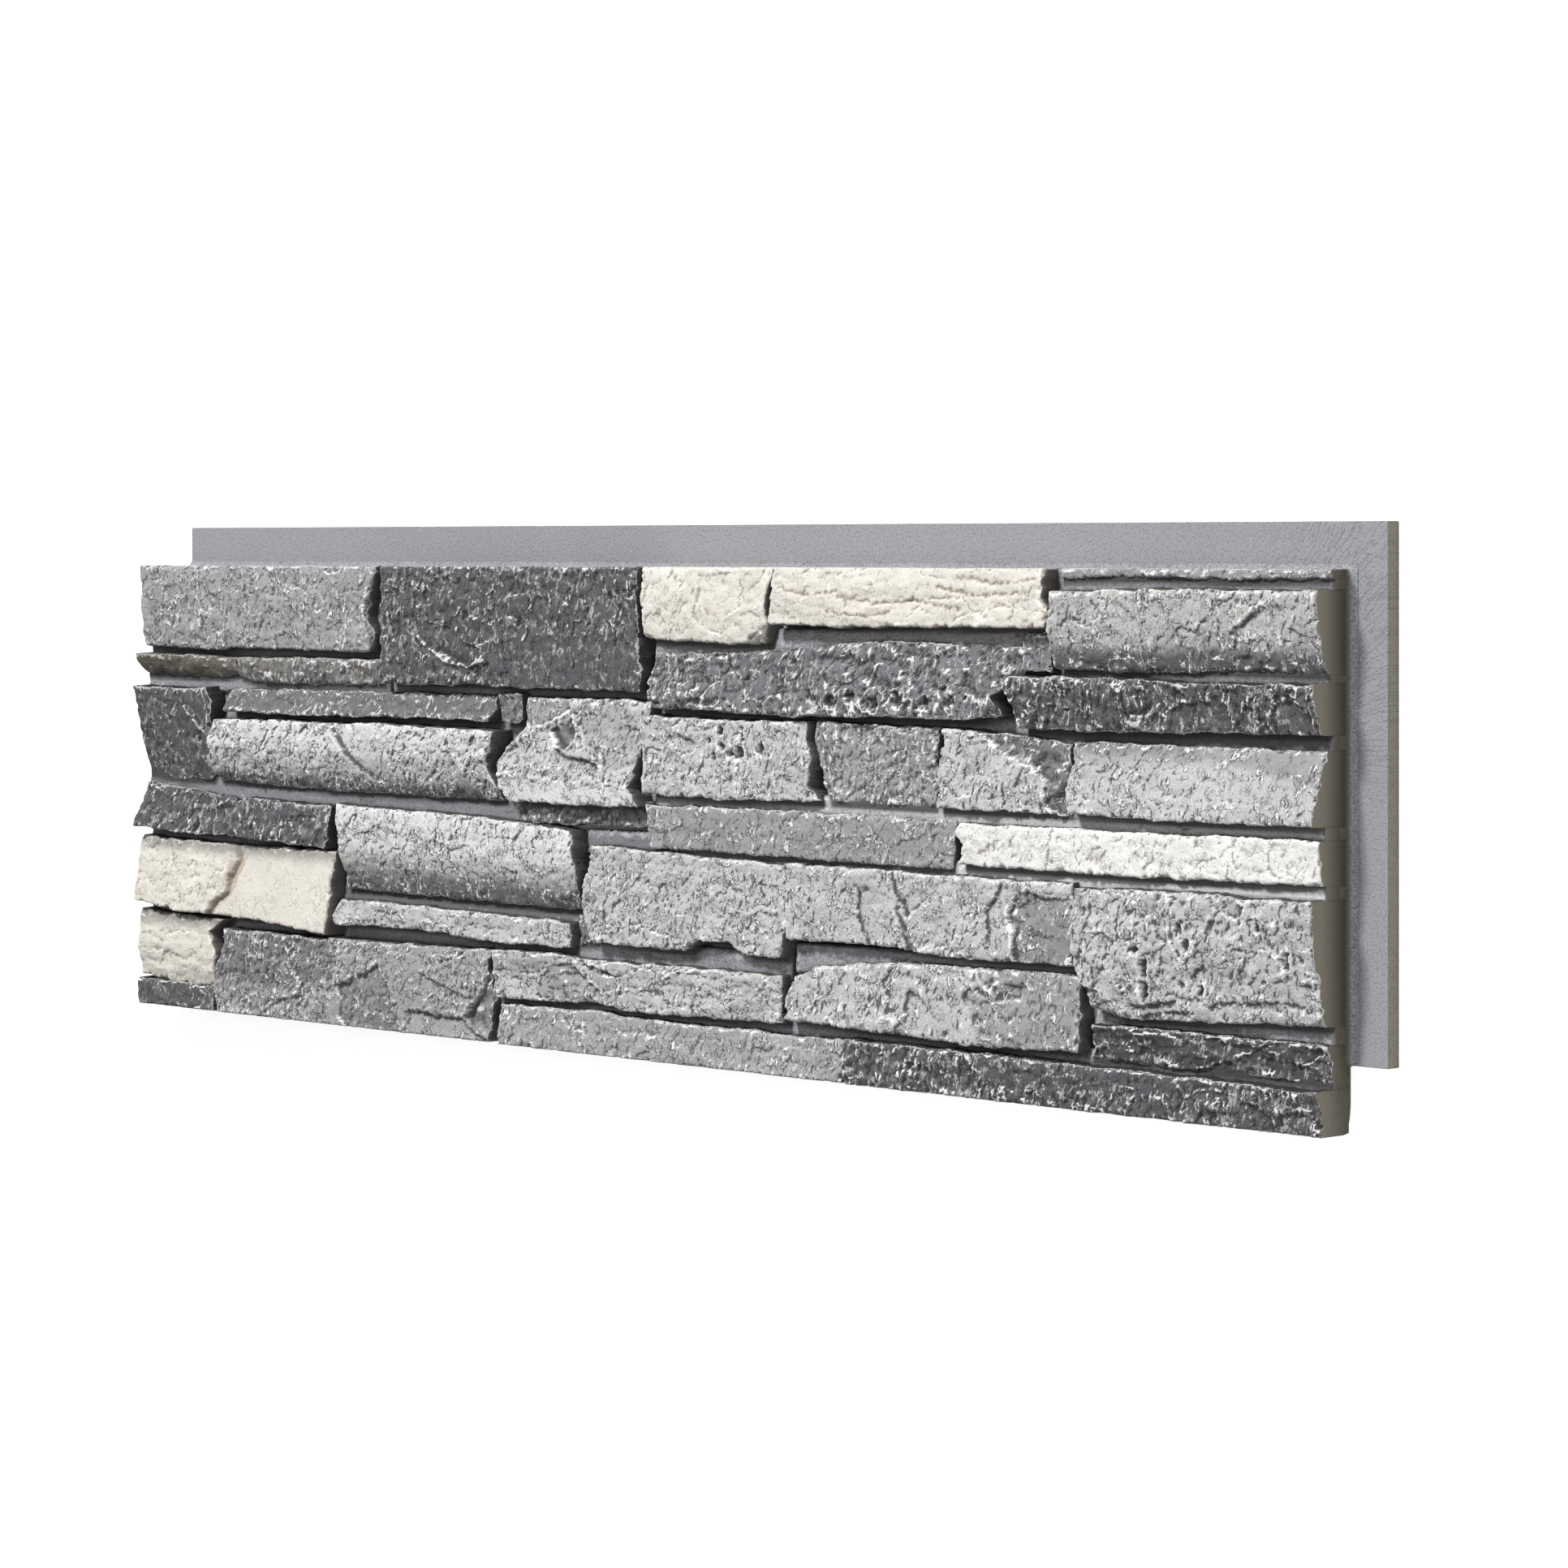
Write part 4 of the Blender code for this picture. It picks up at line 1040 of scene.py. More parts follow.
def joint_shade(x, y):
    """Painted shadow on the ledges and the bed around a stone, from 0 to 1: strongest right beside a stone and
    reaching a little further below it and to its right.
    """
    nearest = np.full(x.shape, 20.0)
    for stone in GREY_STONES + LIGHT_STONES + CREAM_STONES + CHARCOAL_STONES:
        outline = stone.lower + stone.right + stone.upper[::-1] + stone.left[::-1]
        (left, low), (far, top) = np.min(outline, axis=0) - 12, np.max(outline, axis=0) + 12
        close = (x > left) & (x < far) & (y > low) & (y < top)
        if close.any():
            at_x, at_y = x[close], y[close]
            under = line_distance(at_x - 0.8, at_y + 2.6, outline, True)
            beside = line_distance(at_x, at_y, outline, True) + 1.4
            nearest[close] = np.minimum(nearest[close], np.minimum(under, beside))
    return 1 - smooth_step(nearest, 0.0, 2.6)


def add_stones(stones, first_seed, step):
    """Builds a group of like stones."""
    for number, stone in enumerate(stones):
        add_stone(stone, first_seed + 101 * number, step)


def add_bed():
    """Builds the bed that the stones stand in, with its coves and the rounded heel below."""
    columns, rows, rings = 356, 102, 7
    data = add_piece("bed", sheet_mesh(columns, rows, rings), stone_paint("bed")).data
    column, row, ring = grid_places(data, columns, rows)
    x = BED_INSET + column / columns * (FACE_LENGTH - 2 * BED_INSET)
    y = BED_INSET + row / rows * (FACE_HEIGHT - 2 * BED_INSET)
    depth = BED_THICKNESS + 0.5 * layered(x / 14, y / 7, 900)
    drawn = ring > 0
    turn = np.clip((ring - 1) / (rings - 1), 0, 1) * (math.pi / 2)
    out, fall = 1 - np.cos(turn), 1 - np.sin(turn)
    at_right = (column == columns) & (y > BOTTOM_REBATE)
    at_top = (row == rows) & (x > LEFT_REBATE)
    x = x + drawn * at_right * (BED_INSET + RIGHT_COVE * out)
    y = y + drawn * at_top * (BED_INSET + TOP_COVE * out)
    heel = HEEL_HEIGHT * out
    at_heel = drawn & ((row == 0) | (y < heel))
    y = np.where(at_heel, heel, y)
    root = np.where(at_heel, HEEL_DEPTH, np.where(row == rows, TOP_COVE, RIGHT_COVE))
    set_places(data, x, y, np.where(drawn, root * fall, depth))
    wall = np.where((column == columns) & (y > BOTTOM_REBATE), 1 - smooth_step(turn, 0.3, 0.95), drawn)
    # The bed takes painted shadow beside and below the stones
    set_masks(data, crest=0.5, rim=FAR_FROM_RIM, wash=0.0, stain=0.0, side=0.0, joint=joint_shade(x, y) * ~drawn,
              end=wall * (row < rows))


def add_board():
    """Builds the flat backing board whose top and right edges are the laps."""
    low = CAD_BOX[0]
    left, right = LEFT_REBATE, FACE_LENGTH + RIGHT_LAP
    bottom, top = BOTTOM_REBATE, FACE_HEIGHT + TOP_LAP
    mesh = bmesh.new()
    bmesh.ops.create_grid(mesh, x_segments=2, y_segments=2, size=0.5)
    raised = bmesh.ops.extrude_face_region(mesh, geom=mesh.faces[:], use_keep_orig=True)["geom"]
    bmesh.ops.translate(mesh, verts=corners_in(raised), vec=(0, 0, 1))
    bmesh.ops.recalc_face_normals(mesh, faces=mesh.faces[:])
    size = Vector(((right - left) / 1000, (top - bottom) / 1000, BOARD_THICKNESS / 1000))
    bmesh.ops.scale(mesh, verts=mesh.verts[:], vec=size)
    middle = Vector((low.x + (left + right) / 2000, low.y + (bottom + top) / 2000, low.z))
    bmesh.ops.translate(mesh, verts=mesh.verts[:], vec=middle)
    rim = [edge for edge in mesh.edges if edge.calc_face_angle() > 1.0]
    bmesh.ops.bevel(mesh, geom=rim, affect="EDGES", offset=0.0005, segments=3, profile=0.5, material=-1)
    add_piece("backing_board", mesh, board_paint())


# Paint

class Wiring:
    """Lays and links the shader nodes of one tree. Every input takes a socket or a plain value."""

    def __init__(self, tree):
        self.tree = tree

    def feed(self, sockets, values):
        """Links or writes values on inputs that are named or numbered."""
        for label, value in values.items():
            if isinstance(value, bpy.types.NodeSocket):
                self.tree.links.new(value, sockets[label])
            else:
                sockets[label].default_value = value

    def node(self, kind, inputs=None, **settings):
        """Lays a node with its settings, feeds its inputs and gives its outputs."""
        node = self.tree.nodes.new(kind)
        for name, value in settings.items():
            setattr(node, name, value)
        self.feed(node.inputs, inputs or {})
        return node.outputs

    def math(self, operation, *values):
        """One sum."""
        return self.node("ShaderNodeMath", dict(enumerate(values)), operation=operation)[0]

    def times(self, first, second):
        """The product of two values."""
        return self.math("MULTIPLY", first, second)

    def plus(self, first, second):
        """The sum of two values."""
        return self.math("ADD", first, second)

    def minus(self, first, second):
        """The difference of two values."""
        return self.math("SUBTRACT", first, second)

    def most(self, first, second):
        """The larger of two values."""
        return self.math("MAXIMUM", first, second)

    def scaled(self, value, factor, offset):
        """A value times a factor, with an offset added."""
        return self.math("MULTIPLY_ADD", value, factor, offset)

    def rise(self, value, low, high, to_low=0.0, to_high=1.0):
        """A smooth rise of a value between two limits."""
        return self.node("ShaderNodeMapRange", {"Value": value, "From Min": low, "From Max": high, "To Min": to_low,
                                                "To Max": to_high}, interpolation_type="SMOOTHSTEP")["Result"]

    def mix(self, factor, first, second, blend="MIX"):
        """A mix of two colours."""
        return self.node("ShaderNodeMix", {"Factor": factor, 6: first, 7: second}, data_type="RGBA",
                         blend_type=blend)[2]

    def noise(self, vector, scale, detail=2.0, roughness=0.5):
        """A noise pattern."""
        return self.node("ShaderNodeTexNoise", {"Vector": vector, "Scale": scale, "Detail": detail,
                                                "Roughness": roughness})["Fac"]

    def here(self):
        """The object's own coordinates."""
        return self.node("ShaderNodeTexCoord")["Object"]

    def split(self, vector):
        """The three parts of a vector."""
        return self.node("ShaderNodeSeparateXYZ", {0: vector})

    def mask(self, name):
        """One of the masks that are stored on a piece."""
        return self.node("ShaderNodeAttribute", attribute_name=name)["Fac"]

    def bump(self, height, distance):
        """The normal of a surface that is roughened by a height."""
        return self.node("ShaderNodeBump", {"Distance": distance, "Height": height})["Normal"]

    def seen(self):
        """Is one for what the camera sees, straight or in a gloss or a glass."""
        rays = self.node("ShaderNodeLightPath")
        return self.most(rays["Is Camera Ray"], self.most(rays["Is Glossy Ray"], rays["Is Transmission Ray"]))


def new_group(name, inputs, outputs, kind):
    """Starts a shader node group: its wiring, what comes in and what goes out."""
    group = bpy.data.node_groups.new(name, "ShaderNodeTree")
    for label, value in inputs.items():
        sort = "Vector" if value is None else "Color" if isinstance(value, tuple) else "Float"
        socket = group.interface.new_socket(label, in_out="INPUT", socket_type=f"NodeSocket{sort}")
        if value is not None:
            socket.default_value = value
    for label in outputs:
        group.interface.new_socket(label, in_out="OUTPUT", socket_type=f"NodeSocket{kind}")
    return Wiring(group), group.nodes.new("NodeGroupInput").outputs, group.nodes.new("NodeGroupOutput").inputs


def ridge_lines(wires, vector, spacing, lean):
    """Thin wavy ridges, which stand where a stretched and leaning noise crosses its middle."""
    turn = wires.node("ShaderNodeCombineXYZ", {"Z": lean})[0]
    stretched = wires.node("ShaderNodeMapping", {"Scale": (*spacing, 1.0), "Rotation": turn, "Vector": vector},
                           vector_type="TEXTURE")["Vector"]
    return wires.rise(wires.math("ABSOLUTE", wires.minus(wires.noise(stretched, 1.0), 0.5)), RIDGE_WIDTH, 0.0)


def split_face_group():
    """The finest relief: thin wavy ridges and grit, as a height, a mask of the ridge tops, and a painted shadow
    just beside each ridge.
    """
    if "Split Face" in bpy.data.node_groups:
        return bpy.data.node_groups["Split Face"]
    wires, given, result = new_group("Split Face", {"Vector": None, "Ridges": 1.0, "Lean": -0.2, "Grit": 0.4},
                                     ("Height", "Crest", "Lee"), "Float")
    vector = given["Vector"]
    clusters = wires.rise(wires.noise(vector, 60), 0.42, 0.60, 0.1, 1.0)
    cover = wires.times(clusters, wires.rise(wires.noise(vector, 170), 0.47, 0.57))
    lines = []
    for shift in ((0.0, 0.0, 0.0), LEE_SHIFT):
        shifted = wires.node("ShaderNodeVectorMath", {0: vector, 1: shift})[0]
        long_ones = ridge_lines(wires, shifted, LONG_RIDGES, given["Lean"])
        short_ones = ridge_lines(wires, shifted, SHORT_RIDGES, given["Lean"])
        line = wires.most(long_ones, wires.times(short_ones, 0.7))
        lines.append(wires.times(wires.times(line, cover), given["Ridges"]))
    grit = wires.times(wires.noise(vector, 900, 3.0, 0.6), given["Grit"])
    # Painted shadow: where the shifted ridges fall clear of the ridges themselves, just beside each ridge
    lee = wires.most(wires.minus(lines[1], wires.times(lines[0], 1.3)), 0.0)
    wires.feed(result, {"Height": wires.plus(lines[0], grit), "Crest": lines[0], "Lee": lee})
    return wires.tree


def weathered_group():
    """The painter's work: washes in the hollows, stains, and a pale dry brush over the crests, with the painted
    light and shade that the masks carry: darker and paler tints, shadows beside ridges and breaks, and slopes lit
    or shaded by their tilt.
    """
    if "Weathered Paint" in bpy.data.node_groups:
        return bpy.data.node_groups["Weathered Paint"]
    wires, given, result = new_group("Weathered Paint", {
        "Vector": None, "Body": (0.4, 0.4, 0.42, 1), "Pale": (0.8, 0.8, 0.78, 1), "Dark": (0.08, 0.08, 0.09, 1),
        "Film": (0.08, 0.08, 0.09, 1), "Warm": (0.4, 0.22, 0.1, 1), "Crest": 0.5, "Fine Crest": 0.0, "Lee": 0.0,
        "Rim": 6.0, "Wash": 0.0, "Stain": 0.0, "Brushing": 0.6, "Settling": 0.9, "Speckle": 2.2},
        ("Color",), "Color")
    vector = given["Vector"]
    cloudy = wires.rise(wires.noise(vector, 38, 3.0), 0.3, 0.7)
    fine = wires.minus(wires.noise(vector, 800, 2.0, 0.6), 0.5)
    pores = wires.rise(wires.noise(vector, 330), 0.36, 0.27, 0.0, 0.6)
    # Pale where the tint is below 0: the paint's own paler tone on some stones, painted light on others
    chalk = wires.scaled(fine, 0.4, wires.times(given["Wash"], -1.0))
    wash = wires.scaled(fine, 0.5, given["Wash"])
    stain = wires.times(given["Stain"], wires.rise(fine, -0.3, 0.2))
    crest = wires.scaled(fine, 0.35, given["Crest"])
    # Dark paint in the hollows, and painted shade where slopes face away from the light
    hollow = wires.times(wires.rise(crest, 0.47, 0.12), given["Settling"])
    rim = wires.scaled(cloudy, 0.7, wires.scaled(fine, 3.0, given["Rim"]))
    # The dry brush on the crests and rims, and painted light where slopes face the light
    touched = wires.most(wires.rise(crest, 0.66, 0.90), wires.rise(rim, 1.1, 0.3, 0.0, 0.7))
    touched = wires.most(touched, wires.times(given["Fine Crest"], 0.9))
    colour = wires.mix(wires.times(cloudy, 0.14), given["Body"], given["Dark"])
    colour = wires.mix(1.0, colour, wires.scaled(fine, given["Speckle"], 1.0), "MULTIPLY")
    for share, coat in ((pores, "Dark"), (wires.rise(chalk, 0.05, 1.0, 0.0, 0.8), "Pale"),
                        (wires.rise(wash, 0.05, 1.0, 0.0, 0.88), "Film"), (stain, "Warm"),
                        # Hollows darkened, with the painted shadow beside the ridges
                        (wires.most(hollow, wires.times(given["Lee"], 0.95)), "Dark"),
                        (wires.times(touched, given["Brushing"]), "Pale")):
        colour = wires.mix(share, colour, given[coat])
    wires.feed(result, {"Color": colour})
    return wires.tree


def start_material(name):
    """A new material, its wiring and the inputs of its shader."""
    material = bpy.data.materials.new(name)
    material.use_nodes = True
    return material, Wiring(material.node_tree), material.node_tree.nodes["Principled BSDF"].inputs


def four(colour):
    """A colour with full alpha."""
    return (*colour, 1.0)


class Finish(NamedTuple):
    """Which colour of the palette a stone has, and how heavily it is brushed and broken."""

    body: str
    brushing: float
    ridges: float
    grit: float
    bump: float
    settling: float = 0.9
    lean: float = -0.2
    speckle: float = 2.2
    hollows: str = "dark_wash"


FINISHES = {
    "light": Finish("light_grey", 0.95, 1.5, 0.35, 0.0014, 0.95, speckle=0.9),
    "slanted": Finish("light_grey", 0.95, 1.5, 0.35, 0.0014, 0.95, -0.75, 0.9),
    "beige": Finish("beige_grey", 0.90, 1.5, 0.35, 0.0014, 0.95, speckle=0.9),
    "mid": Finish("mid_grey", 0.85, 1.4, 0.35, 0.0014, 0.85, speckle=1.0),
    "brown": Finish("brown_grey", 0.45, 0.5, 0.45, 0.0007),
    "brown_light": Finish("brown_light", 0.70, 0.6, 0.45, 0.0008),
    "dark": Finish("violet_grey", 0.80, 0.8, 0.45, 0.0011, speckle=1.6, hollows="joint"),
    "charcoal": Finish("charcoal", 0.85, 0.70, 0.45, 0.0013, speckle=1.6, hollows="joint"),
    "cream": Finish("cream", 0.70, 0.5, 0.40, 0.0008, 0.8, speckle=0.5, hollows="cream_wash"),
    "white": Finish("white", 0.70, 0.6, 0.45, 0.0009, 0.8, speckle=0.5, hollows="cream_wash"),
    "bed": Finish("base_coat", 0.25, 0.1, 0.25, 0.0004),
}


def stone_paint(finish):
    """The painted finish of one kind of stone."""
    name = f"painted_{finish}"
    if name in bpy.data.materials:
        return bpy.data.materials[name]
    kind, palette = FINISHES[finish], bpy.context.scene.stone_panel_paint
    material, wires, surface = start_material(name)
    vector, at_end = wires.here(), wires.mask("end")
    face = wires.node("ShaderNodeGroup", {"Vector": vector, "Ridges": kind.ridges, "Lean": kind.lean,
                                          "Grit": kind.grit}, node_tree=split_face_group())
    paint = wires.node("ShaderNodeGroup", {
        "Vector": vector, "Body": four(getattr(palette, kind.body)), "Pale": four(palette.dry_brush),
        "Dark": four(getattr(palette, kind.hollows)), "Film": four(palette.dark_wash), "Warm": four(palette.rust),
        "Crest": wires.mask("crest"), "Fine Crest": face["Crest"], "Lee": face["Lee"], "Rim": wires.mask("rim"),
        "Wash": wires.mask("wash"), "Stain": wires.mask("stain"), "Brushing": kind.brushing,
        "Settling": kind.settling, "Speckle": kind.speckle}, node_tree=weathered_group())
    # Painted shade in the dark colour of the joints: on the sides of the stones and on the bed and ledges beside
    # and below them
    deep = wires.times(wires.most(wires.mask("joint"), wires.mask("side")), 0.9)
    # Painted shade on the end walls low down, where they turn into the laps; higher up they take the end wall
    # colour
    lifted = wires.rise(wires.split(vector)["Z"], 0.015, 0.038)
    wall = wires.mix(lifted, four(palette.end_shade), four(palette.end_wall))
    colour = wires.mix(at_end, wires.mix(deep, paint["Color"], four(palette.joint)), wall)
    height = wires.times(face["Height"], wires.minus(1.0, at_end))
    wires.feed(surface, {"Base Color": colour, "Specular IOR Level": 0.3, "Normal": wires.bump(height, kind.bump),
                         "Roughness": wires.rise(wires.noise(vector, 300), 0.3, 0.7, 0.68, 0.86)})
    return material


def board_paint():
    """The plain base coat on the board, with fine pimples, hairline wrinkles and browner edges."""
    palette = bpy.context.scene.stone_panel_paint
    material, wires, surface = start_material("base_coat")
    vector = wires.here()
    place = wires.split(vector)
    across, up = wires.minus(place["X"], WRINKLE_HUB[0]), wires.minus(place["Y"], WRINKLE_HUB[1])
    rays = wires.node("ShaderNodeCombineXYZ", {"X": wires.times(wires.math("ARCTAN2", up, across), 42.0),
                                               "Y": wires.times(wires.plus(across, up), 22.0)})[0]
    crossing = wires.math("ABSOLUTE", wires.minus(wires.noise(rays, 1.0, 1.0), 0.5))
    lap = wires.times(wires.rise(place["X"], 0.44, 0.51), wires.rise(place["Y"], -0.01, 0.06))
    wrinkle = wires.times(wires.rise(crossing, 0.0, 0.022, 1.0, 0.0), lap)
    cloudy = wires.rise(wires.noise(vector, 14, 3.0), 0.3, 0.7)
    specks = wires.rise(wires.noise(vector, 800, 1.0), 0.74, 0.78)
    pimples = wires.rise(wires.noise(vector, 700), 0.56, 0.66)
    normal = wires.split(wires.node("ShaderNodeNewGeometry")["Normal"])
    edge = wires.rise(wires.math("ABSOLUTE", normal["Z"]), 0.6, 0.3)
    colour = four(palette.base_coat)
    for share, coat in ((wires.times(cloudy, 0.04), palette.dark_wash),
                        (wires.times(wrinkle, 0.3), palette.dark_wash),
                        (wires.times(specks, 0.6), palette.dry_brush), (edge, palette.end_wall)):
        colour = wires.mix(share, colour, four(coat))
    height = wires.minus(pimples, wires.times(wrinkle, 0.8))
    wires.feed(surface, {"Base Color": colour, "Normal": wires.bump(height, 0.0003),
                         "Roughness": wires.rise(wires.noise(vector, 160), 0.3, 0.7, 0.60, 0.74)})
    return material


# The studio

def floor_paint():
    """A pale floor that shows white to the camera but keeps the panel's shadow."""
    stage = bpy.context.scene.stone_panel_stage
    material, wires, surface = start_material("studio_floor")
    glow = wires.times(wires.seen(), stage.floor_glow)
    wires.feed(surface, {"Base Color": four(stage.floor_colour), "Roughness": 0.9, "Specular IOR Level": 0.1,
                         "Emission Color": (1, 1, 1, 1), "Emission Strength": glow})
    return material


def add_floor():
    """The floor under the panel."""
    mesh = bmesh.new()
    bmesh.ops.create_grid(mesh, x_segments=1, y_segments=1, size=12.0)
    bmesh.ops.translate(mesh, verts=mesh.verts[:], vec=(0, 0, CAD_BOX[0].z - 0.0003))
    floor = add_mesh("studio_floor", mesh, floor_paint())


def add_lamp(name, direction, distance, size, power):
    """A soft square lamp that looks at the panel from a direction."""
    data = bpy.data.lights.new(name, "AREA")
    data.shape, data.size, data.energy = "SQUARE", size, power
    lamp = add_object(name, data)
    toward = Vector(direction).normalized()
    lamp.location = toward * distance
    lamp.rotation_euler = toward.to_track_quat("Z", "Y").to_euler()


def add_world(strength):
    """A plain pale sky that is white to the camera."""
    world = bpy.data.worlds.new("studio")
    world.use_nodes = True
    wires = Wiring(world.node_tree)
    wires.feed(world.node_tree.nodes["Background"].inputs, {
        "Color": (1, 1, 1, 1), "Strength": wires.scaled(wires.seen(), 1.0 - strength, strength)})
    bpy.context.scene.world = world


def add_camera():
    """The camera of the photograph: level with the panel's upright edges and 46 degrees round from its face."""
    data = bpy.data.cameras.new("camera")
    data.sensor_width, data.lens, data.shift_y, data.clip_end = 36.0, CAMERA_LENS, CAMERA_SHIFT, 60.0
    camera = add_object("camera", data)
    right, up = Vector(CAMERA_RIGHT).normalized(), Vector((0, 1, 0))
    turn = Matrix((right, up, right.cross(up))).transposed().to_4x4()
    camera.matrix_world = Matrix.Translation(CAMERA_PLACE) @ turn
    bpy.context.scene.camera = camera


# What a user may change

class StonePanelRelief(PropertyGroup):
    """Sizes of the relief."""

    step_across: FloatProperty(name="Step across", description="Width of a facet on the stones", default=0.0009,
                               min=0.0003, unit="LENGTH", subtype="DISTANCE")
    step_up: FloatProperty(name="Step up", description="Height of a facet on the stones", default=0.001,
                           min=0.0003, unit="LENGTH", subtype="DISTANCE")
    ledge_step: FloatProperty(name="Ledge step", description="Size of a facet on the low ledges", default=0.002,
                              min=0.0005, unit="LENGTH", subtype="DISTANCE")
    rim_width: FloatProperty(name="Rim width", description="How far the wear reaches in from a stone's edge",
                             default=0.0016, unit="LENGTH", subtype="DISTANCE")
    rim_drop: FloatProperty(name="Rim drop", description="How much a stone's edge is worn down", default=0.0012,
                            unit="LENGTH", subtype="DISTANCE")


def colour_property(name, description, default):
    """A colour of the palette."""
    return FloatVectorProperty(name=name, description=description, default=default, size=3, min=0.0, max=1.0,
                               subtype="COLOR")


class StonePanelPaint(PropertyGroup):
    """The palette."""

    base_coat: colour_property("Base coat", "Board and bed", (0.305, 0.305, 0.325))
    light_grey: colour_property("Light grey", "The paler grey stones", (0.545, 0.55, 0.545))
    beige_grey: colour_property("Beige grey", "The warmer grey stones", (0.54, 0.537, 0.525))
    mid_grey: colour_property("Mid grey", "The plain grey stones", (0.38, 0.38, 0.39))
    violet_grey: colour_property("Violet grey", "The rough dark stones", (0.18, 0.175, 0.188))
    charcoal: colour_property("Charcoal", "The darkest stones", (0.100, 0.094, 0.103))
    brown_grey: colour_property("Brown grey", "The thin weathered strip at the left", (0.14, 0.125, 0.10))
    brown_light: colour_property("Light brown grey", "The strip that goes on from it", (0.25, 0.24, 0.22))
    cream: colour_property("Cream", "The warm white stones", (0.74, 0.71, 0.64))
    white: colour_property("White", "The whitest stone", (0.87, 0.87, 0.845))
    # Also the colour of painted light on slopes that face the lamp and on pale facets
    dry_brush: colour_property("Dry brush", "The pale touches on every crest", (0.93, 0.93, 0.92))
    # Also the colour of painted shade on darkened bands, facets, breaks and craters
    dark_wash: colour_property("Dark wash", "What settles in the hollows", (0.07, 0.066, 0.072))
    cream_wash: colour_property("Cream wash", "What settles on the whitest stones", (0.27, 0.24, 0.19))
    # Also the colour of a warm painted shadow beside a break on a cream stone
    rust: colour_property("Rust stain", "The stained cracks", (0.42, 0.27, 0.15))
    # Also painted shade on the sides of the stones and on the bed beside and below them
    joint: colour_property("Joint", "The sides of the stones and the joints", (0.026, 0.025, 0.024))
    end_wall: colour_property("End wall", "The moulded edges of the panel", (0.20, 0.185, 0.145))
    # Painted shade where the end walls turn into the laps
    end_shade: colour_property("End shade", "The same where they meet the laps", (0.09, 0.08, 0.062))


class StonePanelStage(PropertyGroup):
    """Light and floor."""

    key_power: FloatProperty(name="Key lamp", description="Power of the main soft lamp", default=390.0,
                             unit="POWER")
    fill_power: FloatProperty(name="Fill lamp", description="Power of the weak lamp opposite", default=55.0,
                              unit="POWER")
    sky_strength: FloatProperty(name="Sky", description="Strength of the even light all round", default=0.18)
    floor_glow: FloatProperty(name="Floor glow", description="How white the floor shows", default=0.75)
    floor_colour: colour_property("Floor", "Colour of the floor", (0.80, 0.80, 0.80))


# Steps

class STONEPANEL_OT_board(Operator):
    """Builds the backing board and the bed with its coves and heel"""

    bl_idname = "stone_panel.board"
    bl_label = "Build Board and Bed"

    def execute(self, context):
        add_board()
        add_bed()
        return {"FINISHED"}


class STONEPANEL_OT_ledges(Operator):
    """Builds the low ledges between the stones"""

    bl_idname = "stone_panel.ledges"
    bl_label = "Build Ledges"

    def execute(self, context):
        step = context.scene.stone_panel_relief.ledge_step * 1000
        add_stones(LEDGES, 40000, (step, step))
        return {"FINISHED"}


def stone_step(context):
    """The facet size of the stones in millimetres."""
    relief = context.scene.stone_panel_relief
    return relief.step_across * 1000, relief.step_up * 1000


class STONEPANEL_OT_grey_stones(Operator):
    """Builds the plain grey stones"""

    bl_idname = "stone_panel.grey_stones"
    bl_label = "Build Grey Stones"

    def execute(self, context):
        add_stones(GREY_STONES, 1000, stone_step(context))
        return {"FINISHED"}


class STONEPANEL_OT_light_stones(Operator):
    """Builds the light grey stones"""

    bl_idname = "stone_panel.light_stones"
    bl_label = "Build Light Stones"

    def execute(self, context):
        add_stones(LIGHT_STONES, 10000, stone_step(context))
        return {"FINISHED"}


class STONEPANEL_OT_cream_stones(Operator):
    """Builds the cream stones"""

    bl_idname = "stone_panel.cream_stones"
    bl_label = "Build Cream Stones"

    def execute(self, context):
        add_stones(CREAM_STONES, 20000, stone_step(context))
        return {"FINISHED"}


class STONEPANEL_OT_charcoal_stones(Operator):
    """Builds the charcoal and the rough dark stones"""

    bl_idname = "stone_panel.charcoal_stones"
    bl_label = "Build Charcoal Stones"

    def execute(self, context):
        add_stones(CHARCOAL_STONES, 30000, stone_step(context))
        return {"FINISHED"}


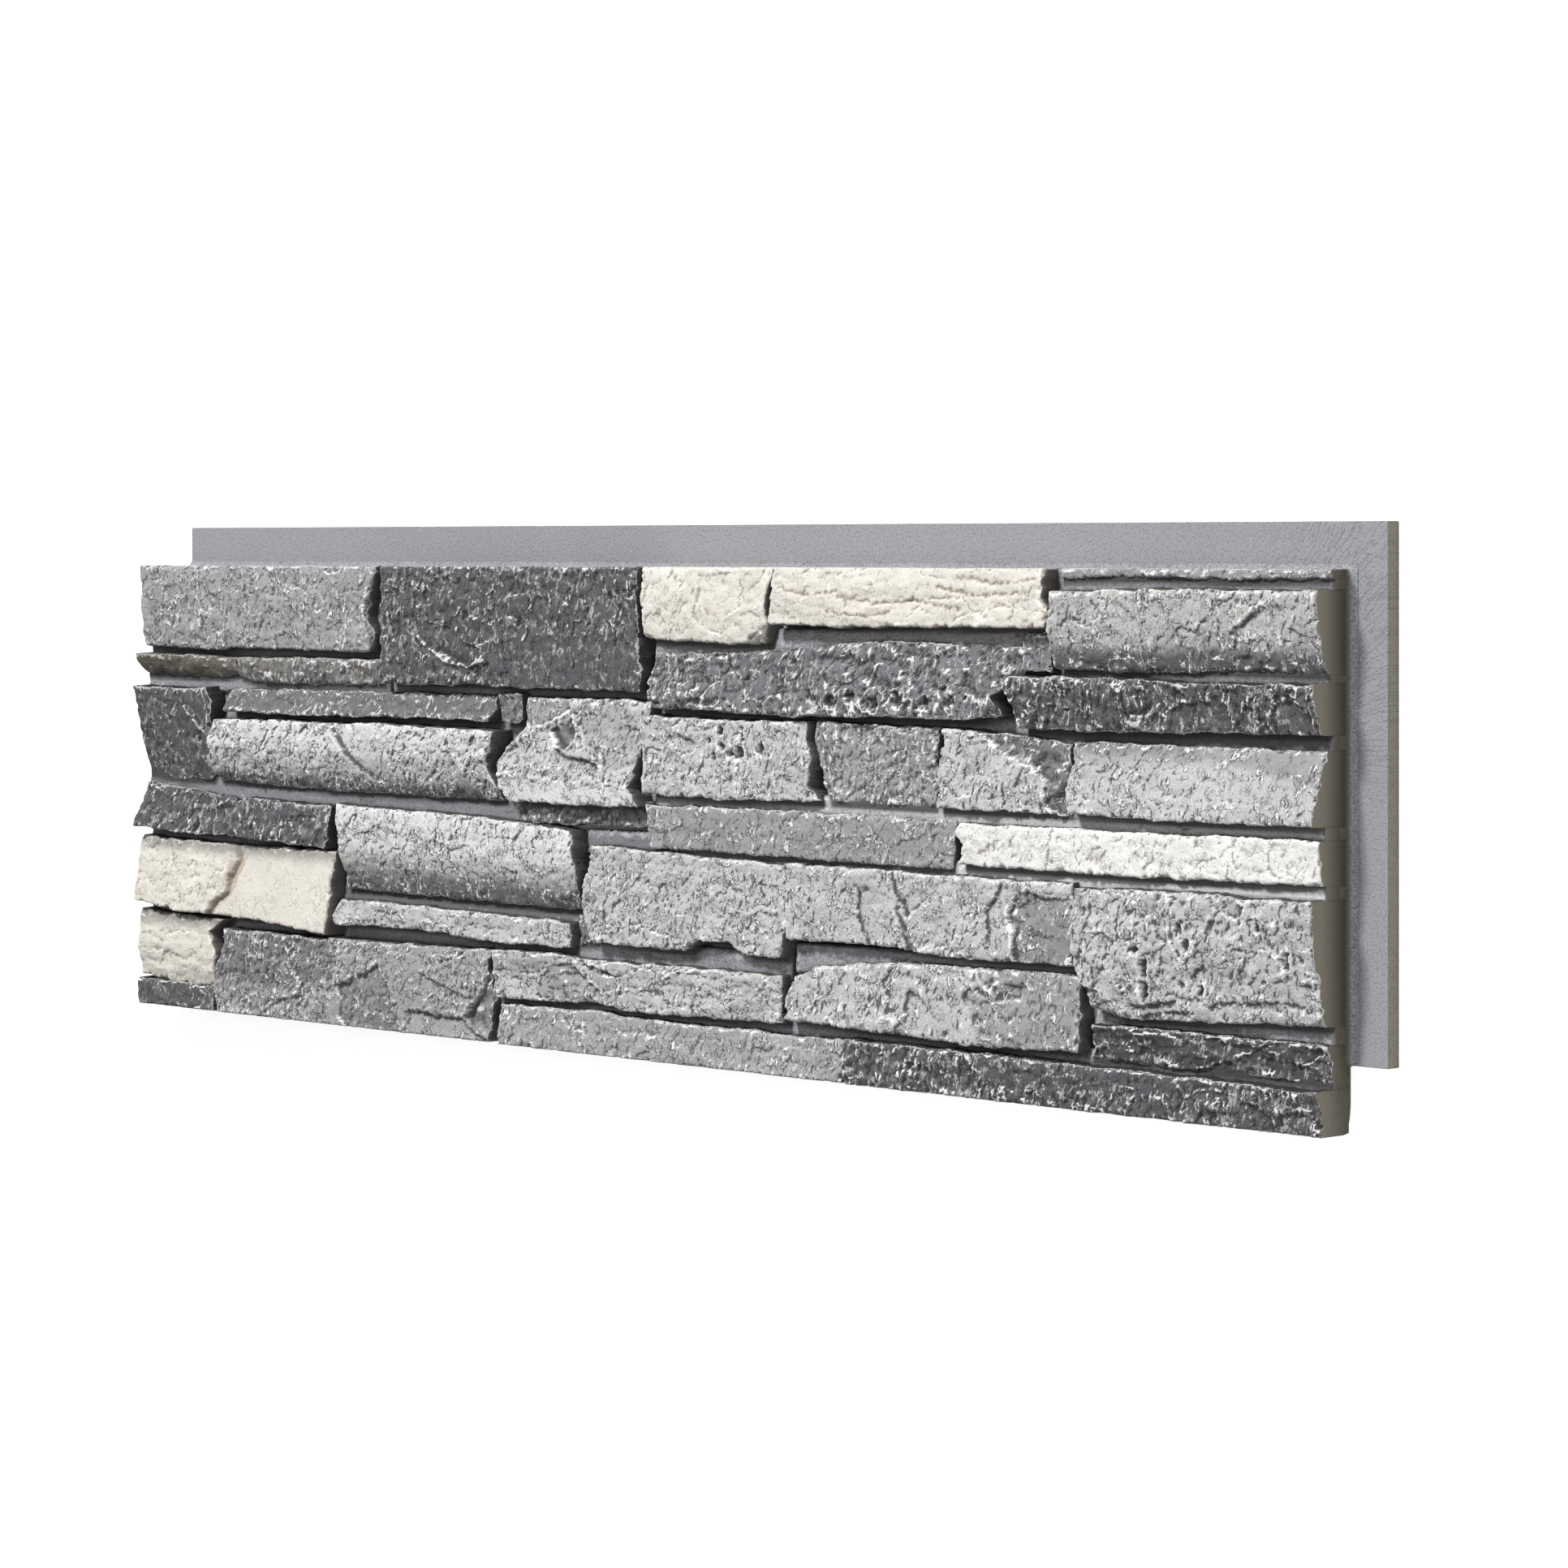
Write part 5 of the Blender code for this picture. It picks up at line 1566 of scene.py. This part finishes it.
class STONEPANEL_OT_stage(Operator):
    """Sets up the floor, the soft lamps, the sky and the camera"""

    bl_idname = "stone_panel.stage"
    bl_label = "Build Stage"

    def execute(self, context):
        stage = context.scene.stone_panel_stage
        context.scene.view_settings.view_transform = "Standard"
        add_floor()
        add_world(stage.sky_strength)
        add_lamp("key_lamp", KEY_DIRECTION, distance=6.0, size=1.0, power=stage.key_power)
        add_lamp("fill_lamp", FILL_DIRECTION, distance=4.0, size=2.4, power=stage.fill_power)
        add_camera()
        return {"FINISHED"}


class VIEW3D_PT_stone_panel(Panel):
    """Lists the steps and their settings"""

    bl_label = "Stone Panel"
    bl_space_type = "VIEW_3D"
    bl_region_type = "UI"
    bl_category = "Stone Panel"

    def draw(self, context):
        for step in STEPS:
            self.layout.operator(step.bl_idname)
        for settings in (context.scene.stone_panel_relief, context.scene.stone_panel_paint,
                         context.scene.stone_panel_stage):
            box = self.layout.box()
            for name in settings.__annotations__:
                box.prop(settings, name)


SETTINGS = {"stone_panel_relief": StonePanelRelief, "stone_panel_paint": StonePanelPaint,
            "stone_panel_stage": StonePanelStage}
STEPS = (STONEPANEL_OT_board, STONEPANEL_OT_ledges, STONEPANEL_OT_grey_stones, STONEPANEL_OT_light_stones,
         STONEPANEL_OT_cream_stones, STONEPANEL_OT_charcoal_stones, STONEPANEL_OT_stage)
CLASSES = (*SETTINGS.values(), *STEPS, VIEW3D_PT_stone_panel)


def register():
    for item in CLASSES:
        bpy.utils.register_class(item)
    for name, group in SETTINGS.items():
        setattr(bpy.types.Scene, name, PointerProperty(type=group))


def unregister():
    for name in SETTINGS:
        delattr(bpy.types.Scene, name)
    for item in reversed(CLASSES):
        bpy.utils.unregister_class(item)


def main():
    """Runs every step in order."""
    register()
    bpy.ops.stone_panel.board()
    bpy.ops.stone_panel.ledges()
    bpy.ops.stone_panel.grey_stones()
    bpy.ops.stone_panel.light_stones()
    bpy.ops.stone_panel.cream_stones()
    bpy.ops.stone_panel.charcoal_stones()
    bpy.ops.stone_panel.stage()


if __name__ == "__main__":
    main()
